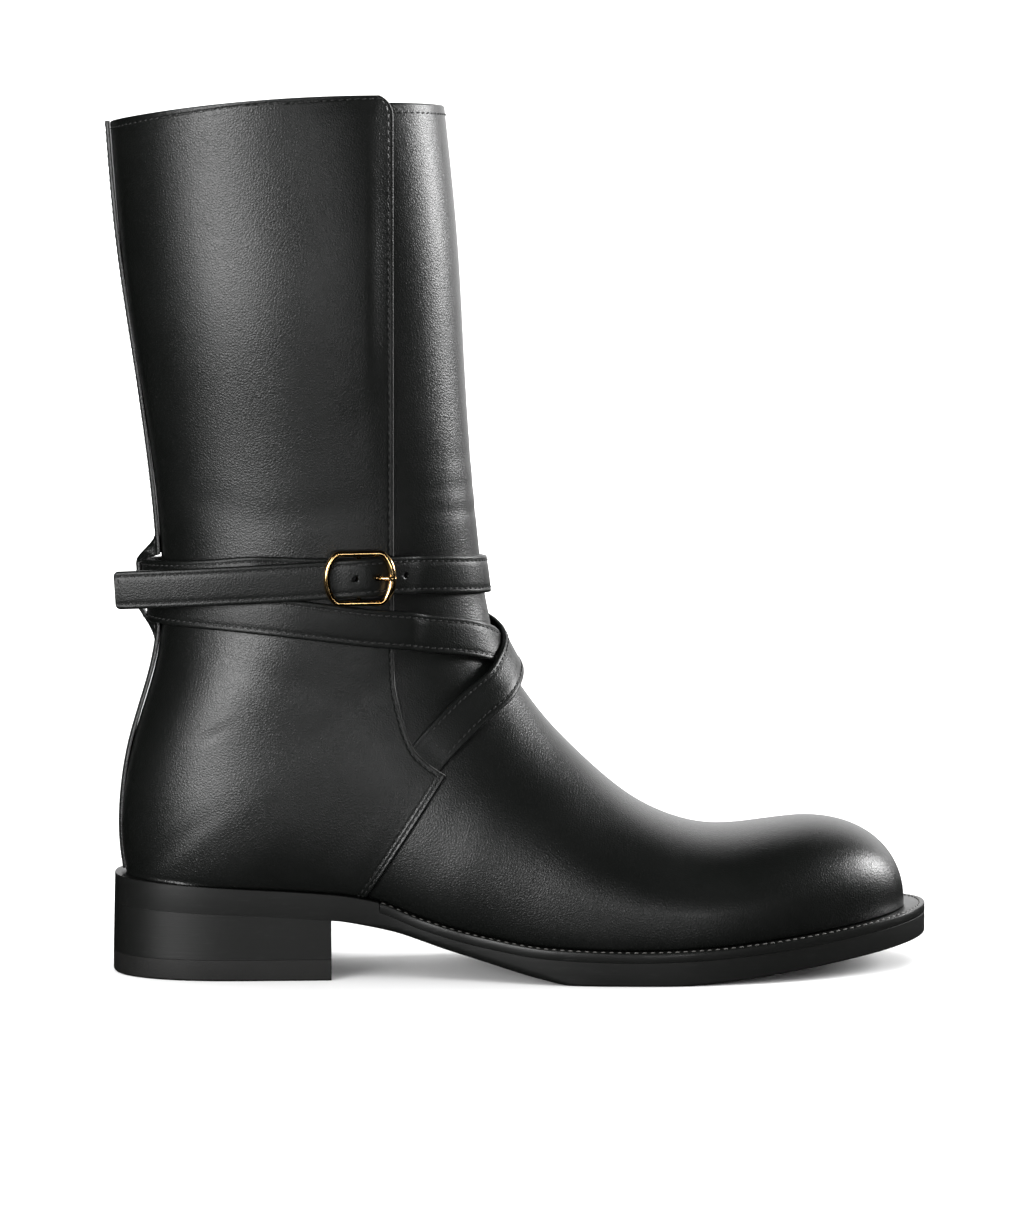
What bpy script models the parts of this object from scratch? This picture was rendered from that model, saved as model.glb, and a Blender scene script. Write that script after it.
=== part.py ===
"""A right jodhpur boot: welted sole, stacked heel, hollow upper, quarters and two ankle straps.

Run it with blender --background --python part.py, or from the text editor.

Sizes here are millimetres and become metres in the meshes. +X points to the toe, +Y to the inner
side of the foot and +Z up. The origin is the middle of the heel's ground face.

The upper is one function of two numbers: a station, which walks from the toe (0) over the instep
and up the shaft to the collar (19), and a turn, which walks from the outer floor edge or back seam
(-1) over the ridge (0) to the inner one (+1). Quarters, back strip and straps lie on that function.
"""

import math
from typing import NamedTuple

import bmesh
import bpy
import numpy as np
from mathutils import Matrix, Vector

MM = 0.001
FIT_GAP = 0.3
MERGE_GAP = 1e-7
SHARP_ANGLE = math.radians(35.0)

# Leather thicknesses, and the heights above the upper at which each layer lies.
WALL = 1.8
QUARTER_INNER = FIT_GAP
QUARTER_OUTER = 1.6
QUARTER_ABOVE_COLLAR = 2.5
BACK_SEAM_HALF_GAP = 0.25
STRIP_INNER = 2.2
STRIP_THICK = 1.3
STRIP_HALF = 5.5
STRAP_HALF = 7.0
STRAP_THICK = 1.8
STRAP_STEP = 5.0

# Ends of the sole and of the feather, the line where the upper meets the welt.
SOLE_TOE, SOLE_HEEL = 263.6, -41.7
FEATHER_TOE, FEATHER_HEEL = 255.6, -35.1
TOE_ROUND_FROM, HEEL_ROUND_FROM = 172.0, 8.0
TOE_POWER, HEEL_POWER = 2.15, 2.4
TOE_CAP_FROM, TOE_CAP_POWER = 212.0, 2.2

# Sole layers.
WELT_THICK = 3.4
WELT_INSET = 14.0
SEAT_STATION = 7.88
SEAT_STEP = 0.4
WELT_BACK_GAP = 0.6
INSOLE_THICK = 2.5
INSOLE_CLEAR = 1.1
INSOLE_HEEL_CLEAR = 1.6
BREAST_STATION, HEEL_BREAST = 8.34, 39.0
HEEL_MIDDLE = 24.0
HEEL_FLARE = 0.7
TOP_PIECE_TALL = 7.9
FOREFOOT_FLAT = (127.0, 166.0)
EDGE_BEVEL = 0.9
HEEL_STEPS, TOE_STEPS = 7, 9

# Plan of the sole before its ends are rounded.
SOLE_PLAN_COLUMNS = ("x", "middle", "half", "ledge")
SOLE_PLAN = (
    (SOLE_HEEL, 0.0, 34.0, 4.6),
    (0.0, 0.0, 34.0, 4.6),
    (25.0, 0.0, 34.0, 4.6),
    (45.0, -0.5, 33.0, 4.6),
    (62.0, -2.5, 31.0, 4.8),
    (85.0, -5.0, 34.0, 5.2),
    (115.0, -5.5, 42.5, 5.8),
    (145.0, -3.0, 50.0, 6.0),
    (172.0, 0.5, 53.5, 6.0),
    (200.0, 4.0, 53.5, 6.0),
    (230.0, 6.5, 53.0, 6.0),
    (SOLE_TOE, 8.0, 53.0, 6.0),
)

# Height of the feather line along the foot: seat, arch, ball and toe spring.
FEATHER_COLUMNS = ("x", "z")
FEATHER = (
    (SOLE_HEEL, 36.7),
    (0.0, 34.3),
    (40.0, 31.6),
    (55.0, 29.0),
    (72.0, 22.5),
    (95.0, 16.5),
    (120.0, 13.0),
    (150.0, 12.2),
    (175.0, 12.8),
    (200.0, 14.6),
    (230.0, 18.0),
    (SOLE_TOE, 22.7),
)

# Underside of the outsole: seat on the heel, arch, flat forefoot, toe spring.
UNDERSIDE_COLUMNS = ("x", "z")
UNDERSIDE = (
    (SOLE_HEEL, 26.3),
    (HEEL_BREAST, 22.1),
    (60.0, 18.0),
    (80.0, 11.8),
    (100.0, 6.0),
    (115.0, 2.0),
    (FOREFOOT_FLAT[0], 0.0),
    (FOREFOOT_FLAT[1], 0.0),
    (185.0, 1.2),
    (205.0, 3.4),
    (230.0, 6.6),
    (SOLE_TOE, 11.3),
)

# Sections of the last. low_x and low_z place the floor edge, later the back seam; front_x and
# front_z the ridge. half is the widest half width, widest its place up the section, fullness how
# square the shoulders are, dome how far the collar line bulges up. low_z is None on the welt.
HEEL_STATION = 11
SEAM_STATION = 8
COLLAR_STATION = 19
LOWER_SHARE = 0.4
UPPER_COLUMNS = ("low_x", "low_z", "front_x", "front_z", "ridge", "half", "widest", "fullness", "dome")
UPPER = (
    (FEATHER_TOE, None, FEATHER_TOE, 59.0, 8.0, 49.0, 0.30, 0.18, 0.0),
    (231.0, None, 231.0, 56.4, 7.0, 49.5, 0.30, 0.15, 0.0),
    (206.0, None, 206.0, 53.8, 6.0, 50.0, 0.30, 0.12, 0.0),
    (182.0, None, 182.0, 52.2, 5.0, 50.0, 0.30, 0.04, 0.0),
    (160.0, None, 160.0, 58.8, 4.0, 48.5, 0.28, -0.04, 0.0),
    (140.0, None, 143.0, 70.3, 3.0, 45.5, 0.26, -0.11, 0.0),
    (118.0, None, 127.0, 85.3, 2.0, 41.5, 0.27, -0.14, 0.0),
    (92.0, None, 115.5, 98.5, 1.0, 38.5, 0.30, -0.14, 0.0),
    (51.9, None, 105.0, 114.0, 0.5, 36.5, 0.34, -0.11, 0.0),
    (15.0, None, 100.0, 124.5, 0.0, 36.5, 0.39, -0.04, 0.0),
    (-18.0, None, 98.2, 133.0, 0.0, 37.0, 0.43, 0.03, 0.0),
    (FEATHER_HEEL, 36.6, 96.8, 140.5, 0.0, 37.0, 0.45, 0.08, 0.0),
    (-36.7, 56.0, 95.6, 149.0, 0.0, 37.0, 0.46, 0.10, 0.0),
    (-33.0, 85.0, 94.6, 158.0, 0.0, 37.0, 0.47, 0.10, 0.0),
    (-24.4, 115.0, 93.6, 168.0, 0.0, 37.0, 0.49, 0.10, 0.0),
    (-21.8, 145.0, 92.6, 179.0, 0.0, 37.5, 0.49, 0.10, 0.0),
    (-24.0, 180.0, 91.1, 197.0, 0.0, 39.0, 0.50, 0.10, 0.0),
    (-29.7, 225.0, 89.1, 229.0, 0.0, 41.5, 0.50, 0.10, 0.0),
    (-36.0, 270.0, 86.7, 272.0, 0.0, 44.0, 0.50, 0.10, 1.0),
    (-39.7, 313.6, 81.9, 321.5, 0.0, 46.5, 0.50, 0.10, 2.6),
)

# The heel's corner: the stations over which the wall comes to stand up steeply from the seat, and
# those over which the sections are smoothed, how widely, and how far up each one.
STEEP_STATIONS = (8.4, 10.2)
EASE_STATIONS = (9.2, 10.2, 11.8, 12.8)
EASE_WIDE, EASE_REACH, EASE_CLIMB = 0.36, 2.6, 0.06
EASE_TABLE_FIRST, EASE_TABLE_LAST, EASE_TABLE_SIZE = 8.0, 14.0, 1201

# Cross-sections of the upper, by station. The toe's are packed towards its tip.
TOE_SECTIONS, TOE_LAST_STATION = 8, 1.6
VAMP_STATIONS = (2.2, 2.9, 3.6, 4.3, 5.0, 5.7, 6.4, 7.0, 7.5, SEAT_STATION)
HEEL_STATIONS = (SEAM_STATION, BREAST_STATION, 8.7, 9.1, 9.5, 9.85, 10.15, 10.45, 10.7, 10.88, HEEL_STATION)
SHAFT_STATIONS = (11.35, 11.7, 12.1, 12.6, 13.1, 13.6, 14.1, 14.7, 15.4, 16.2, 17.0, 17.8, 18.4)
COLLAR_STATIONS = (18.8, 18.88, 18.95, COLLAR_STATION)
QUARTER_STRIPS, FRONT_STRIPS = 8, 5

# Free front edge of a quarter, from the vamp seam's top to the collar.
QUARTER_EDGE_COLUMNS = ("z", "x")
QUARTER_EDGE = (
    (75.9, 80.9),
    (80.0, 74.6),
    (85.6, 69.0),
    (92.0, 66.1),
    (101.0, 63.8),
    (110.0, 62.2),
    (121.0, 61.8),
    (330.0, 61.8),
)
QUARTER_CORNER_TOP = 324.6
QUARTER_CORNER_RADIUS = 8.0

# The back strip bows out at the ankle and makes a loop for the straps. Its edges stay sewn down but
# for the slot that the straps pass through.
LOOP_LOW, LOOP_HIGH, LOOP_BOW = 123.0, 162.5, 7.8
LOOP_END = 13.0
SLOT = (124.0, 130.0, 155.0, 161.0)
LOOP_SECTIONS = 14
STRIP_STATIONS_BELOW = (11.06, 11.4, 11.8, 12.3, 12.8, 13.3, 13.7)
STRIP_STATIONS_ABOVE = (16.3, 16.9, 17.5, 18.1, 18.6)
STRIP_LOOP_STATIONS = (13.95, 15.9)

# Straps: polar angle round the shaft's axis (0 ahead, + to the inner side), height of the strap's
# middle and height of its underside above the upper.
SHAFT_AXIS_X = 35.0
SEARCH_STATIONS, SEARCH_TURN = (6.0, 18.0), 0.98
SEARCH_ROWS, SEARCH_COLUMNS, SEARCH_ROUNDS = 61, 81, 12
MOST_STATION_STEP, MOST_TURN_STEP = 0.5, 0.05
STRAP_COLUMNS = ("angle", "z", "lift")
BUCKLE_STRAP = (
    (-40.0, 83.2, 0.9),
    (-32.6, 92.7, 0.9),
    (-23.8, 101.5, 1.8),
    (-15.3, 108.7, 3.3),
    (-6.0, 115.8, 3.3),
    (8.0, 122.5, 3.3),
    (22.0, 127.5, 3.3),
    (40.0, 132.0, 5.0),
    (90.0, 140.5, 5.0),
    (135.0, 144.8, 4.9),
    (180.0, 146.8, 4.9),
    (225.0, 149.2, 4.9),
    (238.0, 150.2, 4.2),
    (250.0, 150.0, 2.6),
    (260.0, 149.7, 2.4),
    (295.0, 149.6, 2.4),
)
WRAP_STRAP = (
    (40.0, 83.2, 0.9),
    (32.6, 92.7, 0.9),
    (23.8, 101.5, 0.9),
    (14.5, 109.5, 0.9),
    (4.0, 116.5, 0.9),
    (-7.0, 121.3, 0.9),
    (-20.0, 125.4, 0.8),
    (-36.0, 127.8, 0.8),
    (-45.5, 129.1, 2.4),
    (-57.0, 130.1, 2.4),
    (-95.0, 133.5, 2.4),
    (-133.0, 136.2, 2.4),
    (-180.0, 138.0, 2.4),
    (-227.0, 140.0, 2.4),
    (-265.0, 143.0, 2.4),
    (-307.0, 145.5, 2.4),
    (-323.0, 146.3, 0.8),
    (-340.0, 147.0, 0.8),
    (-360.0, 147.6, 0.8),
    (-380.0, 148.8, 0.8),
    (-398.0, 149.7, 0.8),
    (-408.0, 149.9, 2.8),
    (-416.0, 149.9, 4.6),
    (-424.0, 149.7, 6.4),
    (-429.4, 149.5, 6.9),
    (-435.0, 149.2, 6.2),
    (-444.0, 148.7, 4.9),
    (-455.0, 148.2, 4.9),
)
WRAP_END_LENGTH = 72.5
WRAP_END_BEND = 250.0

# Centre-bar buckle, in its own axes: forward along the strap, up across it, and out of the leg.
BUCKLE_ANGLE, BUCKLE_HEIGHT = -69.4, 149.5
BUCKLE_TURNS = 360.0
FRAME_LEVEL = 7.6
FRAME_RAIL_HALF = 8.3
FRAME_HALF_LONG, FRAME_HALF_TALL = 12.2, 9.2
FRAME_WIRE, FRAME_FRONT_WIRE = 0.95, 1.2
FRAME_RAIL_POINTS, FRAME_BOW_POINTS, FRAME_BOW_POWER = 5, 8, 0.8
FRONT_BAR_LONG = 1.0
BAR_LEVEL, BAR_WIRE = 5.4, 0.85
BAR_COLUMNS = ("up", "out")
BAR = ((-FRAME_HALF_TALL, FRAME_LEVEL), (-8.3, BAR_LEVEL + 1.0), (-7.4, BAR_LEVEL), (0.0, BAR_LEVEL))
PRONG_WIRE, PRONG_CLEAR = 0.8, 0.35
PRONG_COLUMNS = ("forward", "out")
PRONG = ((2.1, 5.35), (4.8, 6.2), (7.0, 7.7), (9.0, 9.2), (12.2, 10.05), (13.7, 9.8))
HOLE_RADIUS, HOLE_PITCH, HOLE_AT_PRONG = 1.0, 10.1, 7.0
HOLES_AHEAD = (1, 2)
HOLES_BEHIND = (-1,)
WIRE_SIDES = 8
PUNCH_LONG = 5.4


class Look(NamedTuple):
    """Colour, roughness and metallic value of one finish."""

    colour: tuple
    roughness: float
    metallic: float


BLACK_CALF = Look((0.012, 0.013, 0.012), 0.36, 0.0)
BLACK_STRAP = Look((0.013, 0.014, 0.013), 0.34, 0.0)
DARK_INSOLE = Look((0.03, 0.026, 0.022), 0.6, 0.0)
BLACK_EDGE = Look((0.010, 0.010, 0.010), 0.42, 0.0)
BLACK_WELT = Look((0.014, 0.014, 0.013), 0.45, 0.0)
BLACK_RUBBER = Look((0.016, 0.016, 0.016), 0.6, 0.0)
GOLD_BRASS = Look((0.83, 0.55, 0.19), 0.14, 1.0)


class Curve:
    """A smooth cubic curve through a table's column.

    A natural curve has no jump in curvature. A steady one never swings past a knot, so a flat
    stretch stays flat.
    """

    def __init__(self, knots, values, steady=False):
        self.knots = np.asarray(knots, float)
        self.values = np.asarray(values, float)
        steps = np.diff(self.knots)
        rises = np.diff(self.values) / steps
        self.slopes = self.steady_slopes(steps, rises) if steady else self.natural_slopes(steps, rises)

    @staticmethod
    def natural_slopes(steps, rises):
        count = len(steps) + 1
        matrix = np.zeros((count, count))
        right = np.zeros(count)
        matrix[0, :2] = 2.0, 1.0
        right[0] = 3.0 * rises[0]
        matrix[-1, -2:] = 1.0, 2.0
        right[-1] = 3.0 * rises[-1]
        for i in range(1, count - 1):
            before, after = 1.0 / steps[i - 1], 1.0 / steps[i]
            matrix[i, i - 1 : i + 2] = before, 2.0 * (before + after), after
            right[i] = 3.0 * (rises[i - 1] * before + rises[i] * after)
        return np.linalg.solve(matrix, right)

    @staticmethod
    def steady_slopes(steps, rises):
        slopes = np.concatenate([rises[:1], np.zeros(len(rises) - 1), rises[-1:]])
        for i in range(1, len(rises)):
            if rises[i - 1] * rises[i] > 0.0:
                near = 2.0 * steps[i] + steps[i - 1]
                far = steps[i] + 2.0 * steps[i - 1]
                slopes[i] = (near + far) / (near / rises[i - 1] + far / rises[i])
        return slopes

    def __call__(self, at):
        at = np.asarray(at, float)
        i = np.clip(np.searchsorted(self.knots, at, side="right") - 1, 0, len(self.knots) - 2)
        step = self.knots[i + 1] - self.knots[i]
        u = (at - self.knots[i]) / step
        rise_to = u * u * (3.0 - 2.0 * u)
        leave = u * (1.0 - u) ** 2
        arrive = u * u * (u - 1.0)
        straight = self.values[i] + (self.values[i + 1] - self.values[i]) * rise_to
        return straight + step * (leave * self.slopes[i] + arrive * self.slopes[i + 1])


def table_columns(names, rows):
    """A table's columns by name."""
    return {name: np.array(column, float) for name, column in zip(names, zip(*rows))}


def table_curves(names, rows, steady=False):
    """One curve for each later column of a table, against its first column."""
    columns = table_columns(names, rows)
    knots = columns.pop(names[0])
    return {name: Curve(knots, column, steady) for name, column in columns.items()}


def station_curve(name, first=0, last=COLLAR_STATION):
    """The natural curve of one column of UPPER between two stations."""
    i = UPPER_COLUMNS.index(name)
    return Curve(range(first, last + 1), [row[i] for row in UPPER[first : last + 1]])


SOLE = table_curves(SOLE_PLAN_COLUMNS, SOLE_PLAN, steady=True)
feather_height = table_curves(FEATHER_COLUMNS, FEATHER, steady=True)["z"]
underside_height = table_curves(UNDERSIDE_COLUMNS, UNDERSIDE, steady=True)["z"]
quarter_edge_x = table_curves(QUARTER_EDGE_COLUMNS, QUARTER_EDGE, steady=True)["x"]
LAST = {name: station_curve(name) for name in UPPER_COLUMNS if not name.startswith("low")}
floor_x = station_curve("low_x", 0, HEEL_STATION)
back_x = station_curve("low_x", HEEL_STATION)
SEAT_FRONT = float(floor_x(SEAT_STATION))
WELT_BACK = SEAT_FRONT + WELT_BACK_GAP
back_z = station_curve("low_z", HEEL_STATION)


def end_round(share, power):
    """Width left at a share (0 to 1) of the way into a rounded end."""
    return (1.0 - np.clip(share, 0.0, 1.0) ** power) ** (1.0 / power)


def smooth_step(low, high, at):
    """0 below low, 1 above high, smooth between."""
    u = np.clip((at - low) / (high - low), 0.0, 1.0)
    return u * u * (3.0 - 2.0 * u)


def slope(curve, at, reach=0.02):
    """A curve's slope, by a central difference."""
    return (curve(at + reach) - curve(at - reach)) / (2.0 * reach)


class Plan(NamedTuple):
    """Where a plan outline ends, and whether it lies on the welt's inner side."""

    toe: float
    heel: float
    on_ledge: bool


SOLE_EDGE = Plan(SOLE_TOE, SOLE_HEEL, False)
FEATHER_EDGE = Plan(FEATHER_TOE, FEATHER_HEEL, True)
INSOLE_EDGE = Plan(FEATHER_TOE, FEATHER_HEEL + INSOLE_HEEL_CLEAR, True)


def plan_outline(x, lift, plan):
    """Place, middle and half width of an outline grown by lift, the same amount all round."""
    toe_share = np.clip((x - TOE_ROUND_FROM) / (plan.toe - TOE_ROUND_FROM), 0.0, 1.0)
    heel_share = np.clip((HEEL_ROUND_FROM - x) / (HEEL_ROUND_FROM - plan.heel), 0.0, 1.0)
    half = SOLE["half"](x) + lift - (SOLE["ledge"](x) if plan.on_ledge else 0.0)
    half = half * end_round(toe_share, TOE_POWER) * end_round(heel_share, HEEL_POWER)
    return x + lift * (toe_share - heel_share), SOLE["middle"](x), half


def low_line(station, lift):
    """The section's lower end: floor edge up to the heel, then the back seam."""
    on_floor = station < HEEL_STATION
    x = floor_x(np.minimum(station, HEEL_STATION))
    moved_x, middle, floor_half = plan_outline(x, lift, FEATHER_EDGE)
    floor_z = feather_height(x) + FIT_GAP
    climb = np.maximum(station, HEEL_STATION)
    along_x, along_z = slope(back_x, climb), slope(back_z, climb)
    length = np.hypot(along_x, along_z)
    seam_x = back_x(climb) - lift * along_z / length
    seam_z = back_z(climb) + lift * along_x / length * np.minimum(climb - HEEL_STATION, 1.0)
    return (
        x,
        np.where(on_floor, moved_x, seam_x),
        np.where(on_floor, floor_z, seam_z),
        np.where(on_floor, middle, 0.0),
        np.where(on_floor, floor_half, 0.0),
    )


def smoothed_low_line():
    """A table of the section's lower end smoothed along the stations, and of what a lift adds to it."""
    stations = np.linspace(EASE_TABLE_FIRST, EASE_TABLE_LAST, EASE_TABLE_SIZE)
    step = stations[1] - stations[0]
    reach = int(EASE_REACH * EASE_WIDE / step)
    bell = np.exp(-((np.arange(-reach, reach + 1) * step / EASE_WIDE) ** 2))
    bell = bell / bell.sum()
    plain = np.stack(low_line(stations, np.zeros_like(stations)))
    lifted = np.stack(low_line(stations, np.ones_like(stations))) - plain
    tables = []
    for table in (plain, lifted):
        tables.append([np.convolve(np.pad(row, reach, mode="edge"), bell, mode="valid") for row in table])
    return stations, tables[0], tables[1]


EASE_TABLE = smoothed_low_line()


def eased_low_line(station, lift, climb):
    """The section's lower end, smoothed round the heel's corner for all but the edge itself."""
    enter, full, fade, leave = EASE_STATIONS
    share = smooth_step(enter, full, station) * (1.0 - smooth_step(fade, leave, station))
    share = share * smooth_step(0.0, EASE_CLIMB, np.abs(climb))
    stations, plain_table, lifted_table = EASE_TABLE
    values = []
    for sharp, plain, lifted in zip(low_line(station, lift), plain_table, lifted_table):
        soft = np.interp(station, stations, plain) + lift * np.interp(station, stations, lifted)
        values.append(sharp + (soft - sharp) * share)
    return values


def upper_point(station, turn, lift=0.0):
    """Points of the upper, grown outwards by lift.

    A section runs from its floor edge round an elliptic flank to its widest place, then over a
    shoulder, squared by fullness, to the ridge. Both ends of the foot are rounded in plan, and the
    toe from the side as well. A turn past the back seam goes on round the other side.
    """
    station, turn, lift = np.broadcast_arrays(
        np.asarray(station, float), np.asarray(turn, float), np.asarray(lift, float)
    )
    past = (np.abs(turn) > 1.0) & (station >= HEEL_STATION)
    turn = np.where(past, turn - 2.0 * np.sign(turn), turn)
    climb = 1.0 - np.abs(turn)
    plain_x, low_x, low_z, middle, floor_half = eased_low_line(station, lift, climb)
    front_x, front_z = LAST["front_x"](station), LAST["front_z"](station)
    along_x, along_z = slope(LAST["front_x"], station), slope(LAST["front_z"], station)
    length = np.hypot(along_x, along_z)
    toe_share = np.clip((plain_x - TOE_ROUND_FROM) / (FEATHER_TOE - TOE_ROUND_FROM), 0.0, 1.0)
    cap_share = (plain_x - TOE_CAP_FROM) / (FEATHER_TOE - TOE_CAP_FROM)
    front_x = front_x + lift * (along_z / length + toe_share)
    front_z = low_z + (front_z - lift * along_x / length - low_z) * end_round(cap_share, TOE_CAP_POWER)
    half = (LAST["half"](station) + lift) * end_round(toe_share, TOE_POWER)
    widest, fullness = LAST["widest"](station), LAST["fullness"](station)

    flank = climb / LOWER_SHARE * math.pi / 2.0
    shoulder = (climb - LOWER_SHARE) / (1.0 - LOWER_SHARE) * math.pi / 2.0
    in_flank = climb < LOWER_SHARE
    rise = np.sin(flank)
    rise = rise * np.abs(rise) ** (floor_half / LAST["half"](station) * smooth_step(*STEEP_STATIONS, station))
    out = np.where(
        in_flank,
        floor_half + (half - floor_half) * rise,
        half * np.cos(shoulder) * (1.0 + fullness * np.sin(shoulder) ** 2),
    )
    share = np.where(
        in_flank,
        widest * (1.0 - np.cos(flank)),
        widest + (1.0 - widest) * np.sin(shoulder),
    )
    x = low_x + (front_x - low_x) * share
    z = low_z + (front_z - low_z) * share + LAST["dome"](station) * 4.0 * share * (1.0 - share)
    y = middle + (LAST["ridge"](station) - middle) * share**2 + np.sign(turn) * out
    return np.stack([x, y, z], axis=-1)


def unit(vectors):
    """Vectors of length one."""
    return vectors / np.linalg.norm(vectors, axis=-1, keepdims=True)


def upper_normal(station, turn, lift=0.0, reach=1e-3):
    """Outward unit normals of the upper."""
    by_station = upper_point(station + reach, turn, lift) - upper_point(station - reach, turn, lift)
    by_turn = upper_point(station, turn + reach, lift) - upper_point(station, turn - reach, lift)
    return unit(np.cross(by_turn, by_station))


def polar(points):
    """Angle in degrees round the shaft's axis, and height."""
    return np.degrees(np.arctan2(points[..., 1], points[..., 0] - SHAFT_AXIS_X)), points[..., 2]


def find_on_upper(angle, height, lift):
    """Station and turn of the points at given polar angles and heights, by Newton's method."""
    angle, height, lift = np.broadcast_arrays(
        np.asarray(angle, float), np.asarray(height, float), np.asarray(lift, float)
    )
    grid_station, grid_turn = np.meshgrid(
        np.linspace(*SEARCH_STATIONS, SEARCH_ROWS),
        np.linspace(-SEARCH_TURN, SEARCH_TURN, SEARCH_COLUMNS),
        indexing="ij",
    )
    grid_angle, grid_height = polar(upper_point(grid_station, grid_turn))

    def miss(found_angle):
        return (found_angle + 180.0) % 360.0 - 180.0

    far = (
        miss(grid_angle.reshape(-1) - angle[..., None]) ** 2
        + (grid_height.reshape(-1) - height[..., None]) ** 2
    )
    nearest = far.argmin(axis=-1)
    station = grid_station.reshape(-1)[nearest]
    turn = grid_turn.reshape(-1)[nearest]
    reach = 1e-4
    for _ in range(SEARCH_ROUNDS):
        here_angle, here_height = polar(upper_point(station, turn, lift))
        s_angle, s_height = polar(upper_point(station + reach, turn, lift))
        t_angle, t_height = polar(upper_point(station, turn + reach, lift))
        a, b = miss(s_angle - here_angle) / reach, miss(t_angle - here_angle) / reach
        c, d = (s_height - here_height) / reach, (t_height - here_height) / reach
        off_angle, off_height = miss(angle - here_angle), height - here_height
        whole = a * d - b * c
        by_station = (d * off_angle - b * off_height) / whole
        by_turn = (a * off_height - c * off_angle) / whole
        station = station + np.clip(by_station, -MOST_STATION_STEP, MOST_STATION_STEP)
        turn = turn + np.clip(by_turn, -MOST_TURN_STEP, MOST_TURN_STEP)
    return station, turn


class Band(NamedTuple):
    """A strap's middle line on the upper: its length so far, points and directions."""

    length: np.ndarray
    angle: np.ndarray
    height: np.ndarray
    lift: np.ndarray
    centre: np.ndarray
    along: np.ndarray
    out: np.ndarray


def lay_band(rows):
    """Lays a strap's rows on the upper as one smooth line with even steps."""
    line = table_columns(STRAP_COLUMNS, rows)
    lift = line["lift"]
    points = upper_point(*find_on_upper(line["angle"], line["z"], lift), lift)
    run = np.concatenate([[0.0], np.cumsum(np.linalg.norm(np.diff(points, axis=0), axis=1))])
    length = np.linspace(0.0, run[-1], round(run[-1] / STRAP_STEP) + 1)
    angle, height = Curve(run, line["angle"])(length), Curve(run, line["z"])(length)
    lift = Curve(run, lift, steady=True)(length)
    station, turn = find_on_upper(angle, height, lift)
    centre = upper_point(station, turn, lift)
    along = unit(np.gradient(centre, axis=0))
    return Band(length, angle, height, lift, centre, along, upper_normal(station, turn, lift))


def band_loops(band):
    """Cross-sections of a strap that bends to the upper across its width too."""
    across = unit(np.cross(band.out, band.along))
    inner, outer = [], []
    for side in (-1.0, 0.0, 1.0):
        angle, height = polar(band.centre + side * STRAP_HALF * across)
        station, turn = find_on_upper(angle, height, band.lift)
        edge = upper_point(station, turn, band.lift)
        inner.append(edge)
        outer.append(edge + STRAP_THICK * upper_normal(station, turn, band.lift))
    return np.stack(inner + outer[::-1], axis=1)


def straight_end_loops(loop, along, out):
    """Cross-sections that carry a strap's last one on, off the leg, in a wide bend."""
    count = round(WRAP_END_LENGTH / (2.0 * STRAP_STEP))
    turned = np.linspace(0.0, WRAP_END_LENGTH / WRAP_END_BEND, count + 1)[1:]
    moved = (
        WRAP_END_BEND * np.sin(turned)[:, None] * along
        - WRAP_END_BEND * (1.0 - np.cos(turned))[:, None] * out
    )
    return loop[None] + moved[:, None, :]


def new_object(name, points, faces, look, helper=False):
    """A closed mesh object from points in millimetres, with its faces turned outwards."""
    mesh = bpy.data.meshes.new(name)
    work = bmesh.new()
    corners = [work.verts.new(Vector(point) * MM) for point in np.asarray(points, float)]
    for face in faces:
        work.faces.new([corners[i] for i in face])
    bmesh.ops.remove_doubles(work, verts=work.verts, dist=MERGE_GAP)
    bmesh.ops.recalc_face_normals(work, faces=work.faces)
    work.to_mesh(mesh)
    work.free()
    mesh.shade_smooth()
    mesh.set_sharp_from_angle(angle=SHARP_ANGLE)
    obj = bpy.data.objects.new(name, mesh)
    bpy.context.scene.collection.objects.link(obj)
    if helper:
        obj.hide_render = True
        obj.display_type = "WIRE"
    else:
        obj.data.materials.append(new_material(name, look))
    return obj


def new_material(name, look):
    """A Principled material for one piece."""
    material = bpy.data.materials.new(name)
    material.use_nodes = True
    shader = material.node_tree.nodes["Principled BSDF"]
    shader.inputs["Base Color"].default_value = (*look.colour, 1.0)
    shader.inputs["Roughness"].default_value = look.roughness
    shader.inputs["Metallic"].default_value = look.metallic
    return material


def combine(target, helper, operation):
    """Joins or cuts a piece with a hidden helper."""
    modifier = target.modifiers.new(helper.name, "BOOLEAN")
    modifier.operation = operation
    modifier.object = helper
    modifier.solver = "EXACT"


def grid_quads(rows, columns, start=0):
    """Faces of a grid of points laid out row by row."""
    return [
        (start + r * columns + c, start + r * columns + c + 1,
         start + (r + 1) * columns + c + 1, start + (r + 1) * columns + c)
        for r in range(rows - 1)
        for c in range(columns - 1)
    ]


def lofted(name, loops, look, closed=False, helper=False):
    """A solid through equal closed cross-sections, capped unless the run itself is closed."""
    count, sides = loops.shape[:2]
    faces = []
    for r in range(count if closed else count - 1):
        after = (r + 1) % count
        for c in range(sides):
            d = (c + 1) % sides
            faces.append((r * sides + c, r * sides + d, after * sides + d, after * sides + c))
    if not closed:
        faces.append(tuple(range(sides)))
        faces.append(tuple((count - 1) * sides + c for c in range(sides)))
    return new_object(name, loops.reshape(-1, 3), faces, look, helper)


def tube(name, path, radius, flat_axis, look, closed=False, helper=False):
    """A round wire along a path that lies in the plane square to flat_axis."""
    if closed:
        along = unit(np.roll(path, -1, axis=0) - np.roll(path, 1, axis=0))
    else:
        along = unit(np.gradient(path, axis=0))
    side = unit(np.cross(along, flat_axis))
    around = np.linspace(0.0, 2.0 * math.pi, WIRE_SIDES, endpoint=False) + math.pi / WIRE_SIDES
    radius = np.broadcast_to(radius, len(path))[:, None, None]
    ring = np.cos(around)[None, :, None] * side[:, None] + np.sin(around)[None, :, None] * flat_axis
    return lofted(name, path[:, None] + radius * ring, look, closed, helper)


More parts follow.
